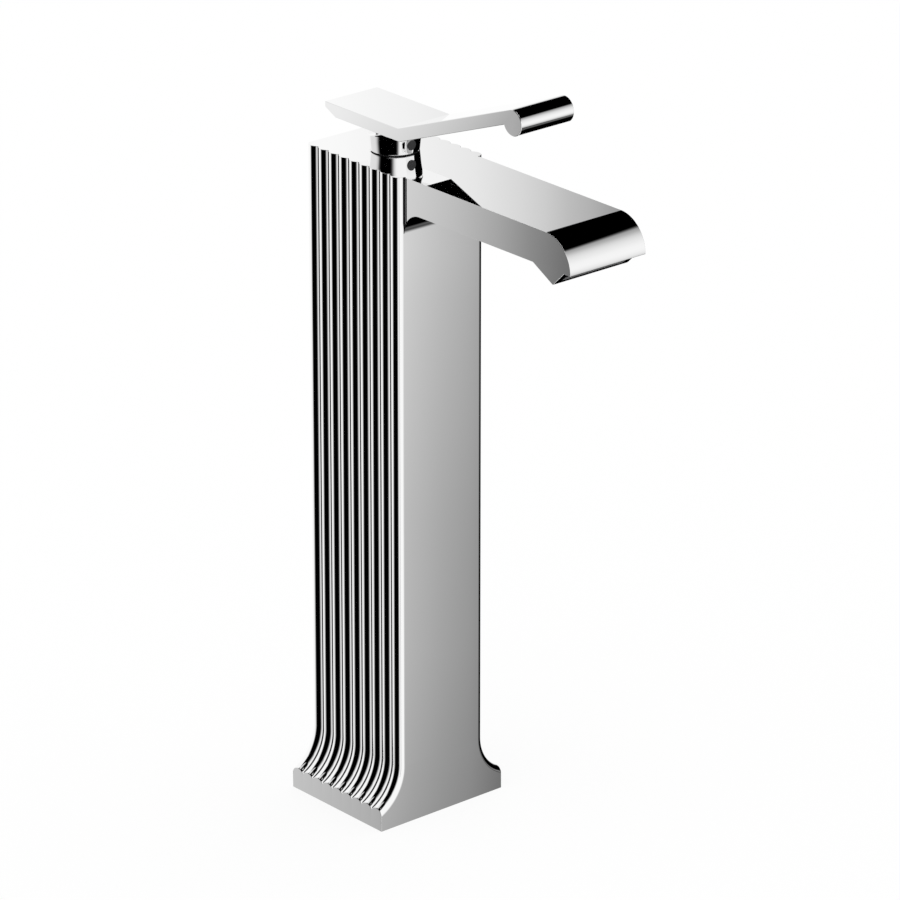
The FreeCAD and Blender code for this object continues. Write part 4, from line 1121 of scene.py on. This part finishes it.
# %% The collar's section
COLLAR_FOOT_Z = 300.4
COLLAR_SEAT_Z = 301.2
COLLAR_STEP_Z = 303.2
COLLAR_TOP_Z = 307.6
COLLAR_RIM_Z = 311.0
COLLAR_SPREAD_Z = 306.0
COLLAR_FOOT_RADIUS = 10.8
COLLAR_SLOPE = 0.097
COLLAR_SPREAD = 0.4
COLLAR_SKIRT = 10.05
COLLAR_THREAD = 8.55
COLLAR_MOUTH = 8.2
COLLAR_EDGE = 0.4
COLLAR_EDGE_STEPS = 5
COLLAR_WALL_STEPS = 12


def wall_radius(z):
    """Radius of the outer wall at a height: a cone that spreads a little more under the plate."""
    spread = max(0.0, (z - COLLAR_SPREAD_Z) / (COLLAR_RIM_Z - COLLAR_SPREAD_Z))
    return COLLAR_FOOT_RADIUS + COLLAR_SLOPE * (z - COLLAR_FOOT_Z) + COLLAR_SPREAD * spread ** 2


def rounded_edge(z, start, end):
    """A quarter round of the outer wall, whose centre is at a height."""
    return arc_points((wall_radius(z) - COLLAR_EDGE, z), COLLAR_EDGE, start, end, COLLAR_EDGE_STEPS)


def collar_section(rim):
    """(radius, z) round the ring's section where its rim has a given height, from the thread's foot."""
    foot, shoulder = COLLAR_FOOT_Z + COLLAR_EDGE, rim - COLLAR_EDGE
    wall = [foot + (shoulder - foot) * n / COLLAR_WALL_STEPS for n in range(1, COLLAR_WALL_STEPS)]
    section = [(COLLAR_THREAD, COLLAR_SEAT_Z), (COLLAR_SKIRT, COLLAR_SEAT_Z), (COLLAR_SKIRT, COLLAR_FOOT_Z)]
    section += rounded_edge(foot, -90, 0)
    section += [(wall_radius(z), z) for z in wall]
    section += rounded_edge(shoulder, 0, 90)
    return section + [(COLLAR_MOUTH, rim), (COLLAR_MOUTH, COLLAR_STEP_Z), (COLLAR_THREAD, COLLAR_STEP_Z)]


print("collar section:", len(collar_section(COLLAR_RIM_Z)), "points")

# %% [markdown]
# ## Spin the collar
# The ring is turned on a lathe, so its section is spun round the axis. The Screw modifier would spin one
# section. Here each angle gets its own, because the rim's height changes. A shallow hole drilled in front
# takes the index dot.

# %% Spin and drill
RIM_RISE = (60.0, 140.0)
COLLAR_STEPS = 160
DOT_RADIUS = 2.32
DOT_Z = 304.5
DOT_DEPTH = 1.2


def rim_height(turn):
    """Height of the rim at an angle in degrees from the rear, where the lever's plate dips."""
    start, end = RIM_RISE
    share = min(max((turn - start) / (end - start), 0.0), 1.0)
    return COLLAR_TOP_Z + (COLLAR_RIM_Z - COLLAR_TOP_Z) * share ** 2 * (3 - 2 * share)


bm = bmesh.new()
spun = []
for n in range(COLLAR_STEPS):
    turn = 360 * n / COLLAR_STEPS
    sine, cosine = math.sin(math.radians(turn)), math.cos(math.radians(turn))
    section = collar_section(rim_height(min(turn, 360 - turn)))
    spun.append([bm.verts.new((r * sine, r * cosine, z)) for r, z in section])
for line, following in zip(spun, spun[1:] + spun[:1]):
    for n in range(len(line)):
        m = (n + 1) % len(line)
        bm.faces.new((line[n], line[m], following[m], following[n]))
collar = piece_from("polished_collar", bm)
dot_start = (0, -wall_radius(DOT_Z) - 2 * OVERRUN, DOT_Z)
carve(collar, rod_cutter(DOT_RADIUS, dot_start, 2 * OVERRUN + DOT_DEPTH, tilt=-90))
shade(collar)
hand_over(collar, "collar", "body")
